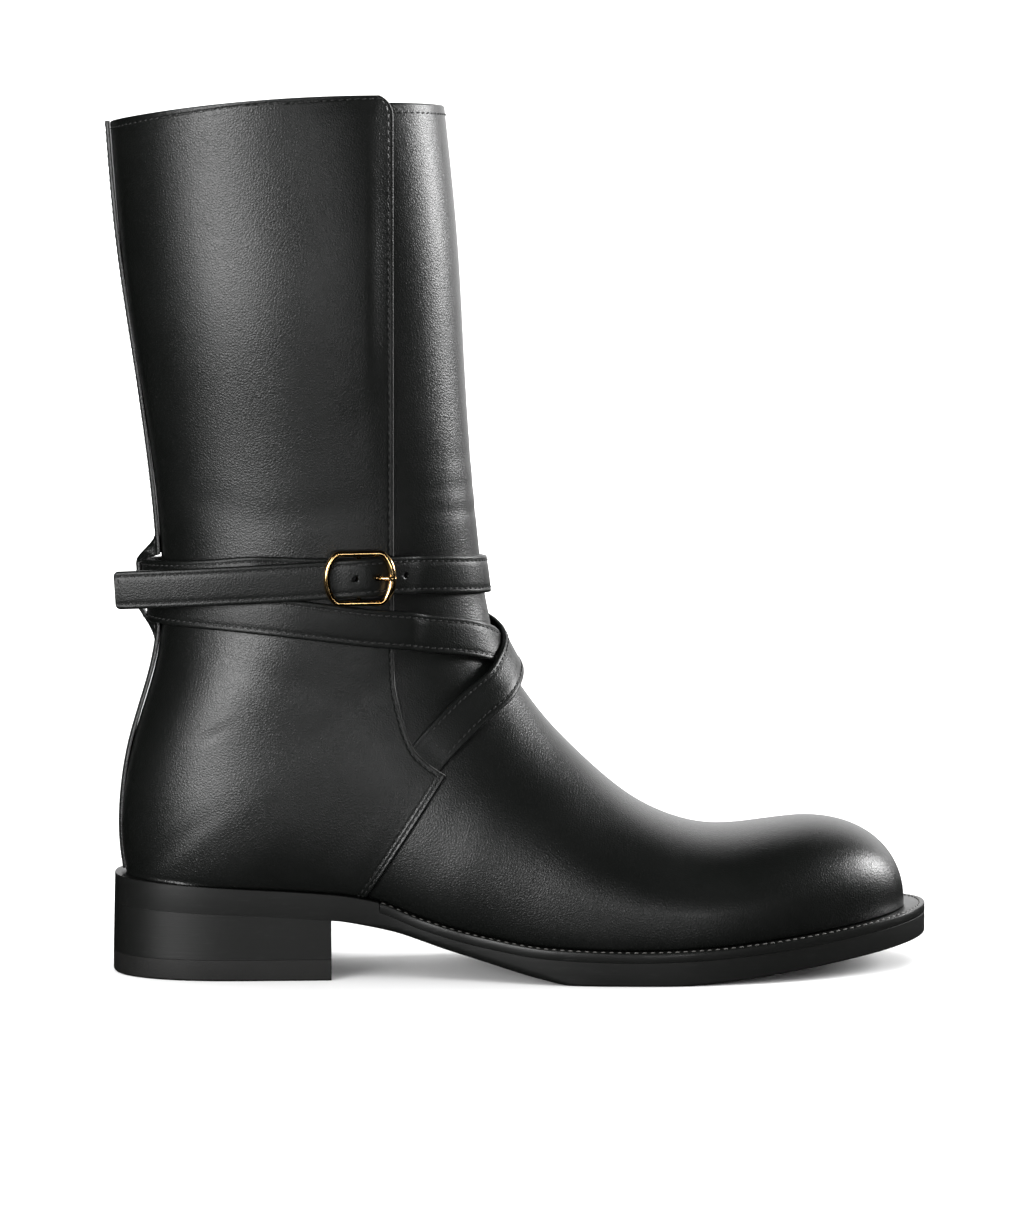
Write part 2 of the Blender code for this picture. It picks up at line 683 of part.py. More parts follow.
def slab(name, xs, layers, look, plan=SOLE_EDGE):
    """A sole layer: outlines stacked from below, each with its growth and its height curve."""
    points, faces = [], []
    count = len(xs)
    for grow, height in layers:
        x, middle, half = plan_outline(xs, grow, plan)
        z = height(x)
        points += list(np.stack([x, middle + half, z], axis=1))
        points += list(np.stack([x, middle - half, z], axis=1)[::-1])
    ring = 2 * count
    for layer in range(len(layers) - 1):
        low, high = layer * ring, (layer + 1) * ring
        for i in range(ring):
            j = (i + 1) % ring
            faces.append((low + i, low + j, high + j, high + i))
    for start in (0, (len(layers) - 1) * ring):
        for i in range(count - 1):
            across = ring - 1 - i
            faces.append((start + i, start + i + 1, start + across - 1, start + across))
    return new_object(name, points, faces, look)


def toe_places(plan):
    """Places into a rounded toe, closer together near its tip."""
    share = np.sin(np.linspace(0.0, math.pi / 2.0, TOE_STEPS + 1))
    return TOE_ROUND_FROM + (plan.toe - TOE_ROUND_FROM) * share


def heel_places(plan):
    """Places from a rounded heel's tip to where it is full."""
    share = np.sin(np.linspace(math.pi / 2.0, 0.0, HEEL_STEPS + 1))
    return HEEL_ROUND_FROM - (HEEL_ROUND_FROM - plan.heel) * share


def outsole_top(x):
    """The seat carries the upper itself; ahead of it the welt lies between."""
    drop = (WELT_THICK + FIT_GAP) * smooth_step(SEAT_FRONT - SEAT_STEP, SEAT_FRONT, x)
    return feather_height(x) - drop


def make_outsole():
    middle = np.sort(np.concatenate([floor_places(), [SEAT_FRONT - SEAT_STEP], FOREFOOT_FLAT]))
    xs = np.concatenate([heel_places(SOLE_EDGE), middle, toe_places(SOLE_EDGE)])
    layers = (
        (-EDGE_BEVEL, underside_height),
        (0.0, lambda x: underside_height(x) + EDGE_BEVEL),
        (0.0, lambda x: outsole_top(x) - EDGE_BEVEL),
        (-EDGE_BEVEL, outsole_top),
    )
    return slab("outsole", xs, layers, BLACK_EDGE)


def make_heel_block():
    xs = np.concatenate([heel_places(SOLE_EDGE), (HEEL_MIDDLE, HEEL_BREAST)])
    layers = (
        (HEEL_FLARE, lambda x: np.full_like(x, TOP_PIECE_TALL + FIT_GAP)),
        (0.0, lambda x: underside_height(x) - FIT_GAP),
    )
    return slab("heel_block", xs, layers, BLACK_EDGE)


def make_top_piece():
    xs = np.concatenate([heel_places(SOLE_EDGE), (HEEL_MIDDLE, HEEL_BREAST)])
    layers = (
        (HEEL_FLARE - EDGE_BEVEL, np.zeros_like),
        (HEEL_FLARE, lambda x: np.full_like(x, EDGE_BEVEL)),
        (HEEL_FLARE, lambda x: np.full_like(x, TOP_PIECE_TALL)),
    )
    return slab("heel_top_piece", xs, layers, BLACK_RUBBER)


def make_insole():
    xs = np.concatenate([heel_places(INSOLE_EDGE), floor_places(), toe_places(INSOLE_EDGE)])
    grow = -(WALL + INSOLE_CLEAR)
    layers = (
        (grow, lambda x: feather_height(x) + FIT_GAP),
        (grow, lambda x: feather_height(x) + FIT_GAP + INSOLE_THICK),
    )
    return slab("insole", xs, layers, DARK_INSOLE, INSOLE_EDGE)


def make_welt():
    """A strip round the forefoot, from the waist on one side to the waist on the other."""
    middle = floor_places()
    xs = np.concatenate([[WELT_BACK], middle[middle > WELT_BACK], toe_places(SOLE_EDGE)])
    corners = (
        (-WELT_INSET, -WELT_THICK),
        (-EDGE_BEVEL, -WELT_THICK),
        (0.0, EDGE_BEVEL - WELT_THICK),
        (0.0, -EDGE_BEVEL),
        (-EDGE_BEVEL, 0.0),
        (-WELT_INSET, 0.0),
    )
    sides = []
    for sign in (-1.0, 1.0):
        loops = []
        for grow, level in corners:
            x, mid, half = plan_outline(xs, grow, SOLE_EDGE)
            loops.append(np.stack([x, mid + sign * half, feather_height(x) + level], axis=1))
        sides.append(np.stack(loops, axis=1))
    outer, inner = sides
    return lofted("welt", np.concatenate([outer, inner[-2::-1]]), BLACK_WELT)


def floor_places():
    """Places of the upper's own sections between its rounded ends."""
    stations = upper_stations()
    places = floor_x(stations[stations < HEEL_STATION])[::-1]
    return places[(places > HEEL_ROUND_FROM) & (places < TOE_ROUND_FROM)]


def upper_stations():
    """Stations of the upper's cross-sections, closest where it turns most."""
    toe = TOE_LAST_STATION * np.linspace(0.0, 1.0, TOE_SECTIONS) ** 2
    return np.concatenate([toe, VAMP_STATIONS, HEEL_STATIONS, SHAFT_STATIONS, COLLAR_STATIONS])


def quarter_front(height):
    """Where a quarter's front edge stands at a height, with its rounded top corner."""
    into = np.clip(height - (QUARTER_CORNER_TOP - QUARTER_CORNER_RADIUS), 0.0, QUARTER_CORNER_RADIUS)
    corner = QUARTER_CORNER_RADIUS - np.sqrt(QUARTER_CORNER_RADIUS**2 - into**2)
    return quarter_edge_x(np.clip(height, QUARTER_EDGE[0][0], QUARTER_EDGE[-1][0])) - corner


def section_turns(stations):
    """Turns of each section's points on one side, evenly spread, one of them on the quarter's edge."""
    fine = np.linspace(-1.0, 0.0, 400)
    points = upper_point(stations[:, None], fine[None])
    step = np.linalg.norm(np.diff(points, axis=1), axis=2)
    run = np.concatenate([np.zeros((len(stations), 1)), np.cumsum(step, axis=1)], axis=1)
    ahead = points[..., 0] - quarter_front(points[..., 2])
    rows = []
    for i, station in enumerate(stations):
        row = i if station >= SEAM_STATION else int(np.argmax(stations >= SEAM_STATION))
        first = int(np.argmax(ahead[row] > 0.0))
        share = -ahead[row, first - 1] / (ahead[row, first] - ahead[row, first - 1])
        edge = fine[first - 1] + share * (fine[first] - fine[first - 1])
        edge_run = np.interp(edge, fine, run[i])
        lengths = np.concatenate([
            np.linspace(0.0, edge_run, QUARTER_STRIPS + 1),
            np.linspace(edge_run, run[i, -1], FRONT_STRIPS + 1)[1:],
        ])
        rows.append(np.interp(lengths, run[i], fine))
    turns = np.array(rows)
    turns[:, -1] = 0.0
    return turns


def make_upper():
    """The hollow wall: an outer and an inner grid, joined along the floor edge and the collar."""
    stations = upper_stations()
    left = section_turns(stations)
    turns = np.concatenate([left, -left[:, -2::-1]], axis=1)
    outer = upper_point(stations[:, None], turns)
    inner = upper_point(stations[:, None], turns, -WALL)
    rows, columns = turns.shape
    size = rows * columns
    faces = grid_quads(rows, columns) + grid_quads(rows, columns, size)
    heel_row = int(np.argmin(np.abs(stations - HEEL_STATION)))
    for edge in (0, columns - 1):
        for r in range(heel_row):
            a, b = r * columns + edge, (r + 1) * columns + edge
            faces.append((a, b, size + b, size + a))
    top = (rows - 1) * columns
    for c in range(columns - 1):
        faces.append((top + c, top + c + 1, size + top + c + 1, size + top + c))
    points = np.concatenate([outer.reshape(-1, 3), inner.reshape(-1, 3)])
    return new_object("upper", points, faces, BLACK_CALF)


def collar_rise():
    """How many stations past the collar a quarter's top edge lies."""
    step = 0.01
    rise = upper_point(COLLAR_STATION, -0.5)[2] - upper_point(COLLAR_STATION - step, -0.5)[2]
    return QUARTER_ABOVE_COLLAR * step / rise


def make_quarter(name, side):
    """An outer panel from the back seam to its free front edge, laid over the upper."""
    stations = upper_stations()
    stations = stations[stations >= SEAM_STATION]
    stations = np.append(stations, COLLAR_STATION + collar_rise())
    turns = section_turns(stations)[:, : QUARTER_STRIPS + 1]
    half = LAST["half"](stations)
    seam_turn = LOWER_SHARE * np.arcsin(BACK_SEAM_HALF_GAP / half) / (math.pi / 2.0) - 1.0
    turns[:, 0] = np.where(stations < HEEL_STATION, -1.0, seam_turn)
    turns = turns if side < 0.0 else -turns[:, ::-1]
    layers = [upper_point(stations[:, None], turns, lift) for lift in (QUARTER_INNER, QUARTER_OUTER)]
    rows, columns = turns.shape
    size = rows * columns
    faces = grid_quads(rows, columns) + grid_quads(rows, columns, size)
    border = list(range(columns))
    border += [r * columns + columns - 1 for r in range(1, rows)]
    border += [(rows - 1) * columns + c for c in range(columns - 2, -1, -1)]
    border += [r * columns for r in range(rows - 2, 0, -1)]
    for i, a in enumerate(border):
        b = border[(i + 1) % len(border)]
        faces.append((a, b, size + b, size + a))
    points = np.concatenate([layer.reshape(-1, 3) for layer in layers])
    return new_object(name, points, faces, BLACK_CALF)


def seam_turns(stations, across, lift):
    """Turns from the back seam at which points lie a given width to its side, by Newton's method."""
    turn = LOWER_SHARE * np.arcsin(across / (LAST["half"](stations) + lift)) / (math.pi / 2.0)
    reach = 1e-4
    for _ in range(SEARCH_ROUNDS):
        here = upper_point(stations, 1.0 - turn, lift)[..., 1]
        beyond = upper_point(stations, 1.0 - turn - reach, lift)[..., 1]
        turn = turn + (across - here) / (beyond - here) * reach
    return turn


def loop_ramp(into):
    """How far the loop has bowed out at a height into it: nearly straight, with softened ends."""
    return (np.clip(into / LOOP_END, 0.0, 1.0) + smooth_step(0.0, LOOP_END, into)) / 2.0


def make_back_strip():
    """The strip over the back seam, bowed out at the ankle to hold the straps."""
    stations = np.concatenate([
        STRIP_STATIONS_BELOW,
        np.linspace(*STRIP_LOOP_STATIONS, LOOP_SECTIONS),
        STRIP_STATIONS_ABOVE,
        [COLLAR_STATION + collar_rise()],
    ])
    height = back_z(stations)
    bow = LOOP_BOW * loop_ramp(height - LOOP_LOW) * loop_ramp(LOOP_HIGH - height)
    enter, full, fade, leave = SLOT
    slot = smooth_step(enter, full, height) * (1.0 - smooth_step(fade, leave, height))
    loops = []
    for thick in (0.0, STRIP_THICK):
        layer = []
        for across in (-STRIP_HALF, 0.0, STRIP_HALF):
            lift = STRIP_INNER + thick
            point = upper_point(stations, 1.0 - seam_turns(stations, across, lift), lift)
            out = upper_normal(stations, np.full_like(stations, 1.0), lift)
            free = 1.0 if across == 0.0 else slot
            layer.append(point + (bow * free)[:, None] * out)
        loops += layer if thick == 0.0 else layer[::-1]
    return lofted("back_strip", np.stack(loops, axis=1), BLACK_CALF)


class Axes(NamedTuple):
    """A place on the leg with its forward, up and out directions."""

    origin: np.ndarray
    forward: np.ndarray
    up: np.ndarray
    out: np.ndarray

    def place(self, forward, up, out):
        """Points from lengths along the three directions."""
        forward, up, out = (np.asarray(size, float)[..., None] for size in (forward, up, out))
        return self.origin + forward * self.forward + up * self.up + out * self.out


def axes_at(band, angle, height):
    """Axes on the bare upper where a strap passes an angle."""
    i = int(np.argmin(np.abs(band.angle - angle)))
    station, turn = find_on_upper(angle, height, 0.0)
    out = upper_normal(station, turn)
    forward = unit(-band.along[i] + out * np.dot(band.along[i], out))
    return Axes(upper_point(station, turn), forward, np.cross(out, forward), out)


def make_frame(axes):
    """A barrel-shaped wire frame with straight rails, bowed ends and a dropped bar across."""
    rail = np.linspace(-FRAME_RAIL_HALF, FRAME_RAIL_HALF, FRAME_RAIL_POINTS)
    top_rail = np.full(FRAME_RAIL_POINTS, FRAME_HALF_TALL)
    swing = np.linspace(math.pi / 2.0, -math.pi / 2.0, FRAME_BOW_POINTS + 2)[1:-1]
    bowed = FRAME_RAIL_HALF + (FRAME_HALF_LONG - FRAME_RAIL_HALF) * np.cos(swing) ** FRAME_BOW_POWER
    tall = FRAME_HALF_TALL * np.sin(swing)
    forward = np.concatenate([rail, bowed, rail[::-1], -bowed])
    up = np.concatenate([top_rail, tall, -top_rail, -tall])
    wire = np.where(forward > FRAME_HALF_LONG - FRONT_BAR_LONG, FRAME_FRONT_WIRE, FRAME_WIRE)
    path = axes.place(forward, up, np.full_like(forward, FRAME_LEVEL))
    frame = tube("buckle_frame", path, wire, axes.out, GOLD_BRASS, closed=True)
    bar = table_columns(BAR_COLUMNS, BAR)
    bar_up = np.concatenate([bar["up"], -bar["up"][-2::-1]])
    bar_out = np.concatenate([bar["out"], bar["out"][-2::-1]])
    path = axes.place(np.zeros_like(bar_up), bar_up, bar_out)
    combine(frame, tube("buckle_bar", path, BAR_WIRE, axes.forward, GOLD_BRASS, helper=True), "UNION")
    return frame


def prong_path(axes):
    """The prong's middle line: over the bar's front, up through the strap, onto the frame."""
    line = table_columns(PRONG_COLUMNS, PRONG)
    return axes.place(line["forward"], np.zeros(len(PRONG)), line["out"])


def make_prong(axes):
    return tube("buckle_prong", prong_path(axes), PRONG_WIRE, axes.up, GOLD_BRASS)


def punch(strap, band, axes):
    """Cuts the strap's holes: one along the prong, and the spare ones."""
    wide = PRONG_WIRE + PRONG_CLEAR
    combine(strap, tube("prong_hole", prong_path(axes), wide, axes.up, GOLD_BRASS, helper=True), "DIFFERENCE")
    at_buckle = np.interp(-(BUCKLE_ANGLE - BUCKLE_TURNS), -band.angle, band.length)
    for step in HOLES_AHEAD + HOLES_BEHIND:
        length = at_buckle - HOLE_AT_PRONG - step * HOLE_PITCH
        i = int(np.argmin(np.abs(band.length - length)))
        centre = band.centre[i] + band.along[i] * (length - band.length[i])
        cutter = new_cylinder(f"strap_hole_{step}", centre, band.out[i])
        combine(strap, cutter, "DIFFERENCE")


def new_cylinder(name, centre, axis):
    """A hidden round punch through a strap."""
    mesh = bpy.data.meshes.new(name)
    work = bmesh.new()
    turn = Vector(axis).to_track_quat("Z", "Y").to_matrix().to_4x4()
    bmesh.ops.create_cone(
        work,
        cap_ends=True,
        segments=WIRE_SIDES,
        radius1=HOLE_RADIUS * MM,
        radius2=HOLE_RADIUS * MM,
        depth=PUNCH_LONG * MM,
        matrix=Matrix.Translation(Vector(centre) * MM) @ turn,
    )
    work.to_mesh(mesh)
    work.free()
    obj = bpy.data.objects.new(name, mesh)
    bpy.context.scene.collection.objects.link(obj)
    obj.hide_render = True
    obj.display_type = "WIRE"
    return obj


def make_straps():
    """Both straps and the buckle that joins them."""
    buckle_strap = lofted("buckle_strap", band_loops(lay_band(BUCKLE_STRAP)), BLACK_STRAP)
    band = lay_band(WRAP_STRAP)
    loops = band_loops(band)
    end = straight_end_loops(loops[-1], band.along[-1], band.out[-1])
    wrap_strap = lofted("wrap_strap", np.concatenate([loops, end]), BLACK_STRAP)
    axes = axes_at(band, BUCKLE_ANGLE - BUCKLE_TURNS, BUCKLE_HEIGHT)
    punch(wrap_strap, band, axes)
    return [buckle_strap, wrap_strap, make_frame(axes), make_prong(axes)]


def main():
    for obj in list(bpy.data.objects):
        bpy.data.objects.remove(obj)
    boot = bpy.data.objects.new("jodhpur_boot", None)
    bpy.context.scene.collection.objects.link(boot)
    pieces = [
        make_outsole(),
        make_welt(),
        make_heel_block(),
        make_top_piece(),
        make_insole(),
        make_upper(),
        make_quarter("quarter_lateral", -1.0),
        make_quarter("quarter_medial", 1.0),
        make_back_strip(),
    ]
    pieces += make_straps()
    for piece in pieces:
        piece.parent = boot


main()
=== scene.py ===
"""Looks of a right jodhpur boot in smooth black calf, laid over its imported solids.

Lengths in the tables are millimetres and meshes are metres. +X points to the toe, +Y to the inner
side of the foot and +Z up. The last is a function of a station, which walks from the toe over the
instep and up to the collar, and a turn, which walks from the outer floor edge or back seam (-1) over
the ridge (0) to the inner one (+1). Every leather piece is a height above that function.
"""

import logging
import math
from dataclasses import dataclass
from enum import Enum
from typing import Any, NamedTuple, Optional, Sequence

import bmesh
import bpy
import numpy as np
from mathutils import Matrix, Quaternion, Vector


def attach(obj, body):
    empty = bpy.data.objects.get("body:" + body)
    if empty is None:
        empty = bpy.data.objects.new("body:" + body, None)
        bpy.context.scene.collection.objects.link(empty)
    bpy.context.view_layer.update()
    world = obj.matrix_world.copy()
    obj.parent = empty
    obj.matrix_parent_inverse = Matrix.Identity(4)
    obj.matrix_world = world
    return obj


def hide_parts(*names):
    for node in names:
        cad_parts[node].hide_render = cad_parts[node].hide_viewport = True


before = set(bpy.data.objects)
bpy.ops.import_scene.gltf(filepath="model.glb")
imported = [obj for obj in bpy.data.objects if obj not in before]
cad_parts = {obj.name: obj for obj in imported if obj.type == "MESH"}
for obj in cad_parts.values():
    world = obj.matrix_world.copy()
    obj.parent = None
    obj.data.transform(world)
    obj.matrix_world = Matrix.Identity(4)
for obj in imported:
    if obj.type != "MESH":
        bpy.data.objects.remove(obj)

Array = np.ndarray
LOG = logging.getLogger("jodhpur_boot")
MM = 0.001
BODY = "root"
MERGE_GAP = 2e-7
SHARP_ANGLE = math.radians(42.0)
QUARTER_TURN = math.pi / 2.0
NEWTON_ROUNDS = 12
NEWTON_REACH = 1e-4
STATION_STRIDE = 0.5
TURN_STRIDE = 0.05


class Side(Enum):
    """The two sides of the foot, as the sign of Y."""

    LATERAL = -1.0
    MEDIAL = 1.0


# Smooth curves and small helpers


class Curve:
    """A cubic curve through a table's column: natural, or steady so that it never swings past a knot."""

    def __init__(self, knots: Sequence[float], values: Sequence[float], steady: bool = False) -> None:
        """Works out the slope at each knot.

        Args:
            knots: Places of the table's rows.
            values: One value for each knot.
            steady: Whether flat stretches stay flat.
        """
        self.knots = np.asarray(knots, float)
        self.values = np.asarray(values, float)
        steps = np.diff(self.knots)
        rises = np.diff(self.values) / steps
        self.slopes = self._steady(steps, rises) if steady else self._natural(steps, rises)

    @staticmethod
    def _natural(steps: Array, rises: Array) -> Array:
        """Slopes that leave no jump in curvature, from the usual three-term equations.

        Args:
            steps: Widths between the knots.
            rises: Slopes of the straight lines between them.

        Returns:
            The slope at each knot.
        """
        count = len(steps) + 1
        matrix = np.diag(np.full(count, 2.0))
        near, far = 1.0 / steps[:-1], 1.0 / steps[1:]
        inside = np.arange(1, count - 1)
        matrix[inside, inside] = 2.0 * (near + far)
        matrix[inside, inside - 1] = near
        matrix[inside, inside + 1] = far
        matrix[0, 1] = matrix[-1, -2] = 1.0
        right = np.empty(count)
        right[inside] = 3.0 * (rises[:-1] * near + rises[1:] * far)
        right[0], right[-1] = 3.0 * rises[0], 3.0 * rises[-1]
        return np.linalg.solve(matrix, right)

    @staticmethod
    def _steady(steps: Array, rises: Array) -> Array:
        """Weighted harmonic means of neighbouring rises, and zero where they turn.

        Args:
            steps: Widths between the knots.
            rises: Slopes of the straight lines between them.

        Returns:
            The slope at each knot.
        """
        same = rises[:-1] * rises[1:] > 0.0
        near = 2.0 * steps[1:] + steps[:-1]
        far = steps[1:] + 2.0 * steps[:-1]
        before = np.where(same, rises[:-1], 1.0)
        after = np.where(same, rises[1:], 1.0)
        middle = np.where(same, (near + far) / (near / before + far / after), 0.0)
        return np.concatenate([rises[:1], middle, rises[-1:]])

    def __call__(self, at: Any) -> Array:
        """On each step a cubic that meets the values and slopes at both ends.

        Args:
            at: Places.

        Returns:
            The curve's values there.
        """
        at = np.asarray(at, float)
        i = np.clip(np.searchsorted(self.knots, at, side="right") - 1, 0, len(self.knots) - 2)
        step = self.knots[i + 1] - self.knots[i]
        u = (at - self.knots[i]) / step
        straight = self.values[i] + (self.values[i + 1] - self.values[i]) * u * u * (3.0 - 2.0 * u)
        bend = u * (1.0 - u) ** 2 * self.slopes[i] + u * u * (u - 1.0) * self.slopes[i + 1]
        return straight + step * bend

    def slope(self, at: Any, reach: float = 0.02) -> Array:
        """The curve's slope, by a central difference."""
        at = np.asarray(at, float)
        return (self(at + reach) - self(at - reach)) / (2.0 * reach)


def columns(names: str, rows: Sequence[Sequence[float]]) -> dict[str, Array]:
    """A table's columns by name."""
    return {name: np.array(column, float) for name, column in zip(names.split(), zip(*rows))}


def unit(vectors: Array) -> Array:
    """Vectors of length one."""
    return vectors / np.linalg.norm(vectors, axis=-1, keepdims=True)


def smooth_step(low: float, high: float, at: Array) -> Array:
    """0 below low, 1 above high, smooth between."""
    u = np.clip((at - low) / (high - low), 0.0, 1.0)
    return u * u * (3.0 - 2.0 * u)


def hump(at: Array, middle: float, width: float) -> Array:
    """A soft bell of height 1."""
    return np.exp(-(((at - middle) / width) ** 2))


def eased(span: float, count: int, power: float) -> Array:
    """Places from 0 to a span, closest at its start."""
    return span * np.linspace(0.0, 1.0, count) ** power


def end_round(share: Array, power: float) -> Array:
    """Width left at a share (0 to 1) of the way into a rounded end."""
    return (1.0 - np.clip(share, 0.0, 1.0) ** power) ** (1.0 / power)


def edge_round(distance: Array, radius: float) -> Array:
    """Height share of a rounded edge: a quarter circle that is full at one radius from the edge."""
    share = np.clip(distance / radius, 0.0, 1.0)
    return np.sqrt(np.clip(1.0 - (1.0 - share) ** 2, 0.0, 1.0))


def run_length(points: Array) -> Array:
    """Length walked along a line of points."""
    return np.concatenate([[0.0], np.cumsum(np.linalg.norm(np.diff(points, axis=0), axis=1))])


def carried(run: Array, values: Array, at: Array) -> Array:
    """Values that go with a line, at the given lengths along it."""
    return np.stack([np.interp(at, run, column) for column in values.T], axis=1)


# The form of the foot


class Plan(NamedTuple):
    """Where a plan outline ends, and whether it lies on the welt's inner side."""

    toe: float
    heel: float
    on_ledge: bool


SOLE_EDGE = Plan(263.6, -41.7, False)
FEATHER_EDGE = Plan(255.6, -35.1, True)
INSOLE_EDGE = Plan(255.6, -33.5, True)


@dataclass(frozen=True)
class FootPlan:
    """Plan and height of the sole: the outline, the feather line and the underside."""

    toe_round_from: float = 172.0
    heel_round_from: float = 8.0
    toe_power: float = 2.15
    heel_power: float = 2.4
    outline: tuple = (
        (-41.7, 0.0, 34.0, 4.6),
        (0.0, 0.0, 34.0, 4.6),
        (25.0, 0.0, 34.0, 4.6),
        (45.0, -0.5, 33.0, 4.6),
        (62.0, -2.5, 31.0, 4.8),
        (85.0, -5.0, 34.0, 5.2),
        (115.0, -5.5, 42.5, 5.8),
        (145.0, -3.0, 50.0, 6.0),
        (172.0, 0.5, 53.5, 6.0),
        (200.0, 4.0, 53.5, 6.0),
        (230.0, 6.5, 53.0, 6.0),
        (263.6, 8.0, 53.0, 6.0),
    )
    feather: tuple = (
        (-41.7, 36.7),
        (0.0, 34.3),
        (40.0, 31.6),
        (55.0, 29.0),
        (72.0, 22.5),
        (95.0, 16.5),
        (120.0, 13.0),
        (150.0, 12.2),
        (175.0, 12.8),
        (200.0, 14.6),
        (230.0, 18.0),
        (263.6, 22.7),
    )
    underside: tuple = (
        (-41.7, 26.3),
        (39.0, 22.1),
        (60.0, 18.0),
        (80.0, 11.8),
        (100.0, 6.0),
        (115.0, 2.0),
        (127.0, 0.0),
        (166.0, 0.0),
        (185.0, 1.2),
        (205.0, 3.4),
        (230.0, 6.6),
        (263.6, 11.3),
    )

    def curve(self, table: tuple, column: int) -> Curve:
        """The steady curve of one column of a table against its first."""
        return Curve([row[0] for row in table], [row[column] for row in table], steady=True)


PLAN = FootPlan()
MIDDLE = PLAN.curve(PLAN.outline, 1)
HALF = PLAN.curve(PLAN.outline, 2)
LEDGE = PLAN.curve(PLAN.outline, 3)
FEATHER = PLAN.curve(PLAN.feather, 1)
UNDERSIDE = PLAN.curve(PLAN.underside, 1)


def plan_outline(x: Array, grow: Array, plan: Plan) -> tuple[Array, Array, Array]:
    """An outline grown by the same amount all round.

    Args:
        x: Places along the foot.
        grow: Growth in millimetres.
        plan: Where the outline ends.

    Returns:
        Moved place, middle and half width.
    """
    toe = np.clip((x - PLAN.toe_round_from) / (plan.toe - PLAN.toe_round_from), 0.0, 1.0)
    heel = np.clip((PLAN.heel_round_from - x) / (PLAN.heel_round_from - plan.heel), 0.0, 1.0)
    half = HALF(x) + grow - (LEDGE(x) if plan.on_ledge else 0.0)
    half = half * end_round(toe, PLAN.toe_power) * end_round(heel, PLAN.heel_power)
    return x + grow * (toe - heel), MIDDLE(x), half


@dataclass(frozen=True)
class Last:
    """The last: sections from the toe to the collar, as the solids have them.

    A section runs from its floor edge round an elliptic flank to its widest place, then over a
    shoulder, squared by fullness, to the ridge.
    """

    heel_station: int = 11
    seam_station: int = 8
    collar_station: int = 19
    lower_share: float = 0.4
    steep_stations: tuple = (8.4, 10.2)
    ease_stations: tuple = (9.2, 10.2, 11.8, 12.8)
    ease_wide: float = 0.36
    ease_climb: float = 0.06
    ease_reach: float = 2.6
    fit_gap: float = 0.3
    toe_cap_from: float = 212.0
    toe_cap_power: float = 2.2
    axis_x: float = 35.0
    guess_stations: tuple = (6.0, 18.0, 61)
    guess_turns: tuple = (-0.98, 0.98, 81)
    names: str = "low_x low_z front_x front_z ridge half widest fullness dome"
    rows: tuple = (
        (255.6, 0.0, 255.6, 59.0, 8.0, 49.0, 0.30, 0.18, 0.0),
        (231.0, 0.0, 231.0, 56.4, 7.0, 49.5, 0.30, 0.15, 0.0),
        (206.0, 0.0, 206.0, 53.8, 6.0, 50.0, 0.30, 0.12, 0.0),
        (182.0, 0.0, 182.0, 52.2, 5.0, 50.0, 0.30, 0.04, 0.0),
        (160.0, 0.0, 160.0, 58.8, 4.0, 48.5, 0.28, -0.04, 0.0),
        (140.0, 0.0, 143.0, 70.3, 3.0, 45.5, 0.26, -0.11, 0.0),
        (118.0, 0.0, 127.0, 85.3, 2.0, 41.5, 0.27, -0.14, 0.0),
        (92.0, 0.0, 115.5, 98.5, 1.0, 38.5, 0.30, -0.14, 0.0),
        (51.9, 0.0, 105.0, 114.0, 0.5, 36.5, 0.34, -0.11, 0.0),
        (15.0, 0.0, 100.0, 124.5, 0.0, 36.5, 0.39, -0.04, 0.0),
        (-18.0, 0.0, 98.2, 133.0, 0.0, 37.0, 0.43, 0.03, 0.0),
        (-35.1, 36.6, 96.8, 140.5, 0.0, 37.0, 0.45, 0.08, 0.0),
        (-36.7, 56.0, 95.6, 149.0, 0.0, 37.0, 0.46, 0.10, 0.0),
        (-33.0, 85.0, 94.6, 158.0, 0.0, 37.0, 0.47, 0.10, 0.0),
        (-24.4, 115.0, 93.6, 168.0, 0.0, 37.0, 0.49, 0.10, 0.0),
        (-21.8, 145.0, 92.6, 179.0, 0.0, 37.5, 0.49, 0.10, 0.0),
        (-24.0, 180.0, 91.1, 197.0, 0.0, 39.0, 0.50, 0.10, 0.0),
        (-29.7, 225.0, 89.1, 229.0, 0.0, 41.5, 0.50, 0.10, 0.0),
        (-36.0, 270.0, 86.7, 272.0, 0.0, 44.0, 0.50, 0.10, 1.0),
        (-39.7, 313.6, 81.9, 321.5, 0.0, 46.5, 0.50, 0.10, 2.6),
    )

    def curve(self, name: str, first: int = 0, last: Optional[int] = None) -> Curve:
        """The natural curve of one column between two stations.

        Args:
            name: The column.
            first: The first station.
            last: The last one, or the collar's.

        Returns:
            The curve.
        """
        last = self.collar_station if last is None else last
        i = self.names.split().index(name)
        return Curve(range(first, last + 1), [row[i] for row in self.rows[first : last + 1]])


LAST = Last()
SECTION = {name: LAST.curve(name) for name in LAST.names.split()[2:]}
FLOOR_X = LAST.curve("low_x", 0, LAST.heel_station)
BACK_X = LAST.curve("low_x", LAST.heel_station)
BACK_Z = LAST.curve("low_z", LAST.heel_station)


